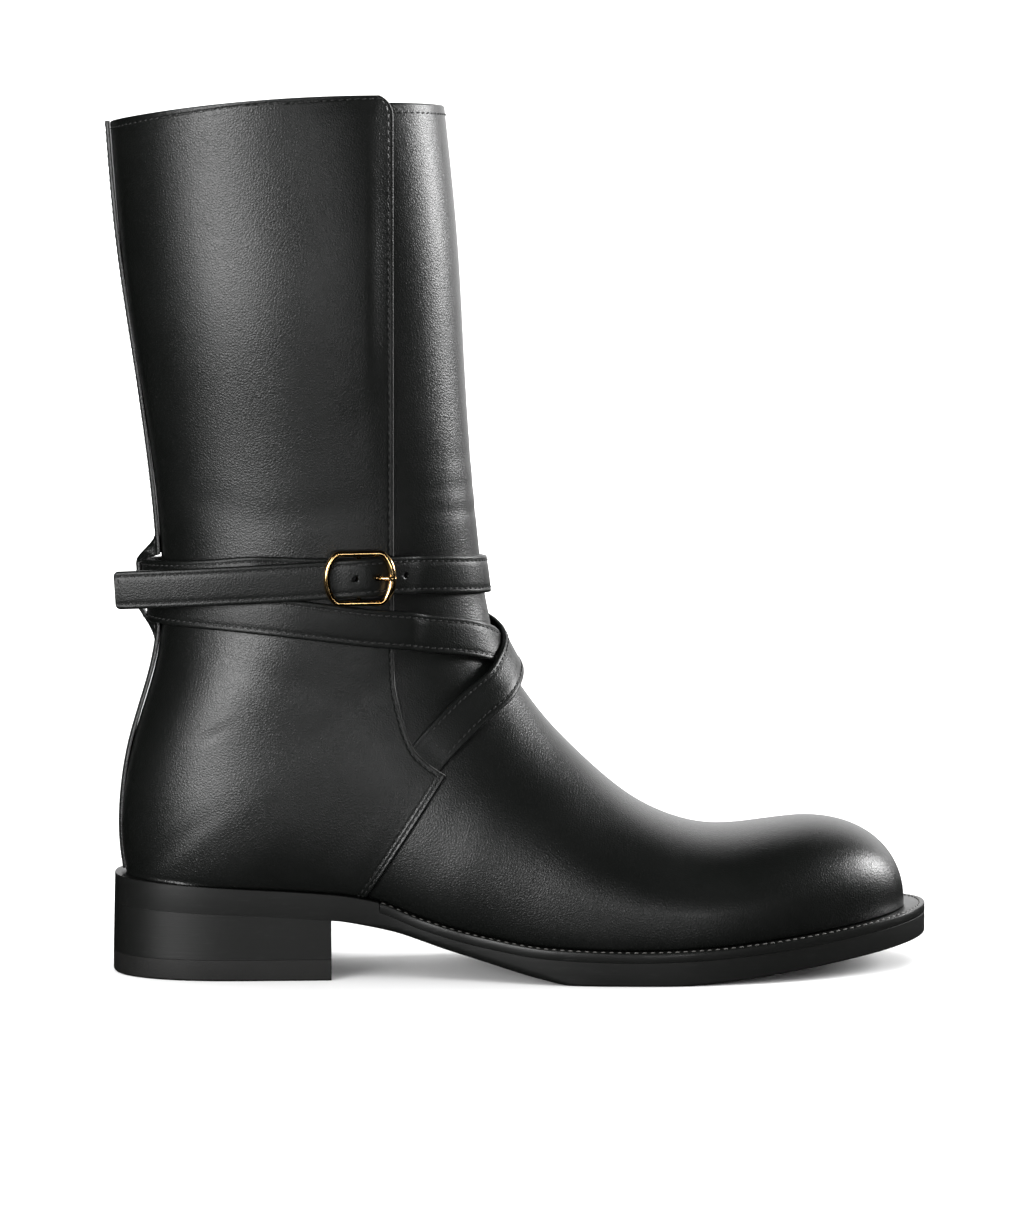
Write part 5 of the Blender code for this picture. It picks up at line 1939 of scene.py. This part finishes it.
@dataclass(frozen=True)
class Buckle:
    """The centre-bar buckle, in its own axes: forward along the strap, up across it, out of the leg."""

    finishes: Finishes
    angle: float = -429.4
    height: float = 149.5
    level: float = 7.6
    dip: float = 3.0
    rail_half: float = 7.5
    half_long: float = 12.05
    half_tall: float = 9.05
    wire: float = 1.12
    front_wire: float = 1.5
    thicken: tuple = (9.6, 11.8)
    bow_power: float = 1.2
    rail_steps: int = 13
    bow_steps: int = 30
    frame_sides: int = 20
    bar_level: float = 5.4
    bar_wire: float = 0.85
    bar_drop: tuple = (7.0, 9.0)
    bar_steps: int = 41
    bar_sides: int = 16
    prong_wire: float = 0.8
    prong_tip: float = 0.25
    prong_taper: float = 1.0
    prong_steps: int = 34
    prong_clear: float = 0.35
    prong: tuple = ((2.1, 5.35), (4.8, 6.2), (7.0, 7.7), (9.0, 9.2), (12.0, 10.15), (13.1, 10.0))
    hole_radius: float = 1.0
    hole_pitch: float = 10.1
    hole_at_prong: float = 7.0
    holes: tuple = (1, -1)
    punch_long: float = 5.4

    def axes(self, lie: Lie) -> Axes:
        """Axes on the bare upper where the strap passes the buckle, dipped a little towards the toe.

        Args:
            lie: How the strap lies.

        Returns:
            The buckle's axes.
        """
        i = int(np.argmin(np.abs(lie.angle - self.angle)))
        guess = lie.station[i : i + 1], lie.turn[i : i + 1]
        station, turn = locate(np.array([self.angle]), np.array([self.height]), np.zeros(1), *guess)
        out = last_normal(station, turn)[0]
        forward = unit(-lie.along[i] + out * np.dot(lie.along[i], out))
        dip = math.radians(self.dip)
        forward = forward * math.cos(dip) - np.cross(out, forward) * math.sin(dip)
        return Axes(last_point(station, turn)[0], forward, np.cross(out, forward), out)

    def build_frame(self, axes: Axes) -> None:
        """A barrel-shaped ring of round wire with straight rails and bowed ends, and the dropped bar.

        Each end swings from rail to rail: it is as high as a sine, and as far out as a power of a cosine.

        Args:
            axes: The buckle's axes.
        """
        rail = np.linspace(-self.rail_half, self.rail_half, self.rail_steps)
        swing = np.linspace(QUARTER_TURN, -QUARTER_TURN, self.bow_steps)[1:-1]
        bowed = self.rail_half + (self.half_long - self.rail_half) * np.cos(swing) ** self.bow_power
        forward = np.concatenate([rail, bowed, rail[::-1], -bowed])
        tall = np.concatenate([np.full(len(rail), self.half_tall), self.half_tall * np.sin(swing)])
        up = np.concatenate([tall, -tall])
        wire = self.wire + (self.front_wire - self.wire) * smooth_step(*self.thicken, forward)
        path = axes.place(forward, up, np.full_like(forward, self.level))
        ring = tube(path, wire, axes.out, self.frame_sides, True)
        reach = np.linspace(-self.half_tall, self.half_tall, self.bar_steps)
        drop = self.bar_level + (self.level - self.bar_level) * smooth_step(*self.bar_drop, np.abs(reach))
        path = axes.place(np.zeros_like(reach), reach, drop)
        bar = tube(path, self.bar_wire, axes.forward, self.bar_sides)
        piece = add_mesh("buckle_frame", *joined([ring, bar]), (self.finishes.brass,))
        settle(piece, "gold_brass", "buckle_frame")

    def prong_path(self, axes: Axes) -> Array:
        """The prong's middle line: over the bar's front, up through the strap, onto the frame.

        Args:
            axes: The buckle's axes.

        Returns:
            Points of the line.
        """
        forward, out = np.array(self.prong).T
        fine = np.linspace(forward[0], forward[-1], self.prong_steps)
        return axes.place(fine, np.zeros_like(fine), Curve(forward, out)(fine))

    def build_prong(self, axes: Axes) -> None:
        """The prong: a round wire with a rounded tip.

        Args:
            axes: The buckle's axes.
        """
        path = self.prong_path(axes)
        run = run_length(path)
        full = edge_round(run[-1] - run, self.prong_taper)
        radius = self.prong_wire * (self.prong_tip + (1.0 - self.prong_tip) * full)
        prong = tube(path, radius, axes.up, self.bar_sides)
        piece = add_mesh("buckle_prong", *prong, (self.finishes.brass,))
        settle(piece, "gold_brass", "buckle_prong")

    def punch(self, strap: bpy.types.Object, lie: Lie, axes: Axes) -> None:
        """Cuts the strap's holes: one along the prong, and the spare ones as straight round punches.

        Args:
            strap: The strap.
            lie: How it lies.
            axes: The buckle's axes.
        """
        bore = self.prong_wire + self.prong_clear
        cutters = [tube(self.prong_path(axes), bore, axes.up, self.frame_sides)]
        at_buckle = np.interp(-self.angle, -lie.angle, lie.length)
        for step in self.holes:
            length = at_buckle - self.hole_at_prong - step * self.hole_pitch
            i = int(np.argmin(np.abs(lie.length - length)))
            centre = lie.centre[i] + lie.along[i] * (length - lie.length[i])
            reach = np.linspace(-self.punch_long, self.punch_long, 3)[:, None]
            side = unit(np.cross(lie.out[i], lie.along[i]))
            cutters.append(tube(centre + reach * lie.out[i], self.hole_radius, side, self.frame_sides))
        for cutter in cutters:
            tool = add_mesh("punch", *cutter, ())
            modifier = strap.modifiers.new("hole", "BOOLEAN")
            modifier.operation = "DIFFERENCE"
            modifier.solver = "EXACT"
            modifier.object = tool
            plain = strap.data
            strap.data = bpy.data.meshes.new_from_object(
                strap.evaluated_get(bpy.context.evaluated_depsgraph_get())
            )
            strap.modifiers.clear()
            bpy.data.meshes.remove(plain)
            bpy.data.objects.remove(tool)
        strap.data.name = strap.name


BUCKLE_STRAP = (
    (-43.5, 78.7, -0.5),
    (-40.0, 83.2, -0.4),
    (-36.4, 88.0, 0.3),
    (-32.6, 92.7, 0.9),
    (-23.8, 101.5, 1.8),
    (-15.3, 108.7, 3.3),
    (-6.0, 115.8, 3.3),
    (8.0, 122.5, 3.3),
    (22.0, 127.5, 3.3),
    (40.0, 132.0, 5.0),
    (90.0, 140.5, 5.0),
    (135.0, 144.8, 5.1),
    (180.0, 146.8, 7.6),
    (225.0, 149.2, 5.1),
    (238.0, 150.2, 4.2),
    (250.0, 150.0, 2.6),
    (260.0, 149.7, 2.4),
    (295.0, 149.6, 2.4),
)
WRAP_STRAP = (
    (43.5, 78.7, -0.5),
    (40.0, 83.2, -0.4),
    (36.4, 88.0, 0.3),
    (32.6, 92.7, 0.9),
    (23.8, 101.5, 0.9),
    (14.5, 109.5, 0.9),
    (4.0, 116.5, 0.9),
    (-7.0, 121.3, 0.9),
    (-20.0, 125.4, 0.8),
    (-36.0, 127.8, 0.8),
    (-45.5, 129.1, 2.4),
    (-57.0, 130.1, 2.4),
    (-95.0, 133.5, 2.4),
    (-133.0, 136.2, 2.4),
    (-180.0, 138.0, 5.4),
    (-227.0, 140.0, 2.4),
    (-265.0, 143.0, 2.4),
    (-307.0, 145.5, 2.4),
    (-323.0, 146.3, 0.8),
    (-340.0, 147.0, 0.8),
    (-360.0, 147.6, 0.8),
    (-380.0, 148.8, 0.8),
    (-398.0, 149.7, 0.8),
    (-408.0, 149.9, 2.8),
    (-416.0, 149.9, 4.6),
    (-424.0, 149.7, 6.4),
    (-429.4, 149.5, 6.9),
    (-435.0, 149.2, 6.2),
    (-444.0, 148.7, 4.9),
    (-455.0, 148.2, 4.9),
)
WRAP_END = 72.5


@dataclass(frozen=True)
class Fastening:
    """Both straps and the buckle that joins them."""

    finishes: Finishes

    def build(self) -> None:
        """Builds the straps, the frame and the prong."""
        short = Strap(self.finishes, "buckle_strap", BUCKLE_STRAP)
        short.build(short.lay())
        long = Strap(self.finishes, "wrap_strap", WRAP_STRAP, WRAP_END)
        lie = long.lay()
        strap = long.build(lie)
        buckle = Buckle(self.finishes)
        axes = buckle.axes(lie)
        buckle.punch(strap, lie, axes)
        buckle.build_frame(axes)
        buckle.build_prong(axes)


# Studio


@dataclass(frozen=True)
class Lamp:
    """A soft box: place, what it faces, sides, power, whether the leather mirrors it, and its tilt."""

    name: str
    place: tuple
    target: tuple
    wide: float
    tall: float
    power: float
    mirrored: bool = True
    tilt: float = 0.0


@dataclass(frozen=True)
class Studio:
    """A pale sweep, soft boxes and the camera at the photograph's angle."""

    target: tuple = (0.107, 0.0, 0.132)
    azimuth: float = -2.5
    distance: float = 1.70
    camera_height: float = 0.28
    focal_pixels: float = 4563.0
    image_tall: float = 1230.0
    sensor: float = 36.0
    world_grey: float = 0.9
    floor_front: float = -3.0
    wall_back: float = 2.2
    bend: float = 0.9
    bend_steps: int = 25
    half_wide: float = 4.0
    wall_top: float = 3.2
    lamps: tuple = (
        Lamp("left_box", (-0.87, -1.21, 0.37), (0.02, 0.0, 0.2), 0.92, 0.52, 22.0, tilt=18.0),
        Lamp("low_strip", (0.45, -2.0, 0.13), (0.1, 0.0, 0.2), 0.7, 0.15, 3.6),
        Lamp("right_box", (1.33, 0.33, 0.52), (0.2, 0.0, 0.06), 0.42, 0.42, 18.0),
        Lamp("rim_box", (0.55, 1.5, 0.62), (0.12, 0.0, 0.1), 1.7, 1.1, 10.0),
        Lamp("floor_box", (0.1, -0.3, 2.6), (0.1, -0.3, 0.0), 3.2, 3.2, 50.0, False),
        Lamp("wall_box", (0.0, 0.6, 1.6), (0.0, 2.2, 0.9), 3.2, 1.0, 30.0, False),
    )

    def floor(self) -> None:
        """The sweep: a flat floor, a quarter circle and a wall, carried straight across.

        The leather doesn't mirror it, so that the boot stays dark against white paper.
        """
        swing = np.linspace(0.0, QUARTER_TURN, self.bend_steps)
        back = self.wall_back - self.bend
        y = np.concatenate([[self.floor_front], back + self.bend * np.sin(swing), [self.wall_back]])
        z = np.concatenate([[0.0], self.bend * (1.0 - np.cos(swing)), [self.wall_top]])
        x = np.array([-self.half_wide, self.half_wide])
        points = np.stack(np.broadcast_arrays(x[None], y[:, None], z[:, None]), axis=-1) / MM
        quads = grid_quads(len(y), 2)[:, ::-1]
        sweep = add_mesh("studio_sweep", points.reshape(-1, 3), quads, (Paper("studio_paper").build(),))
        sweep.visible_glossy = False

    def lights(self) -> None:
        """The soft boxes, a pale room that the leather doesn't mirror, and plain display colours."""
        for lamp in self.lamps:
            data = bpy.data.lights.new(lamp.name, "AREA")
            data.shape = "RECTANGLE"
            data.size, data.size_y, data.energy = lamp.wide, lamp.tall, lamp.power
            light = bpy.data.objects.new(lamp.name, data)
            light.location = lamp.place
            light.visible_glossy = lamp.mirrored
            light.visible_camera = False
            facing = (Vector(lamp.target) - Vector(lamp.place)).to_track_quat("-Z", "Y")
            tilt = Quaternion((0.0, 0.0, 1.0), math.radians(lamp.tilt))
            light.rotation_euler = (facing @ tilt).to_euler()
            bpy.context.scene.collection.objects.link(light)
        world = bpy.data.worlds.new("studio_room")
        world.use_nodes = True
        grey = self.world_grey
        world.node_tree.nodes["Background"].inputs["Color"].default_value = (grey, grey, grey, 1.0)
        bpy.context.scene.world = world
        world.cycles_visibility.glossy = False
        bpy.context.scene.view_settings.view_transform = "Standard"

    def camera(self) -> None:
        """The camera: a long lens a little above the boot and a little to the heel's side."""
        data = bpy.data.cameras.new("studio_camera")
        data.sensor_width = self.sensor
        data.lens = self.focal_pixels * self.sensor / self.image_tall
        camera = bpy.data.objects.new("studio_camera", data)
        swing = math.radians(self.azimuth)
        target = Vector(self.target)
        camera.location = (
            target.x + math.sin(swing) * self.distance,
            target.y - math.cos(swing) * self.distance,
            self.camera_height,
        )
        camera.rotation_euler = (target - camera.location).to_track_quat("-Z", "Y").to_euler()
        bpy.context.scene.collection.objects.link(camera)
        bpy.context.scene.camera = camera

    def build(self) -> None:
        """Builds the studio."""
        self.floor()
        self.lights()
        self.camera()


def main() -> None:
    """Builds the boot over its solids, then the studio."""
    logging.basicConfig(level=logging.INFO)
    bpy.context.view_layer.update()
    finishes = Finishes.build()
    Sole(finishes).build()
    Upper(finishes).build()
    for side in Side:
        Quarter(finishes, side).build()
    BackStrip(finishes).build()
    Fastening(finishes).build()
    Studio().build()


if __name__ == "__main__":
    main()
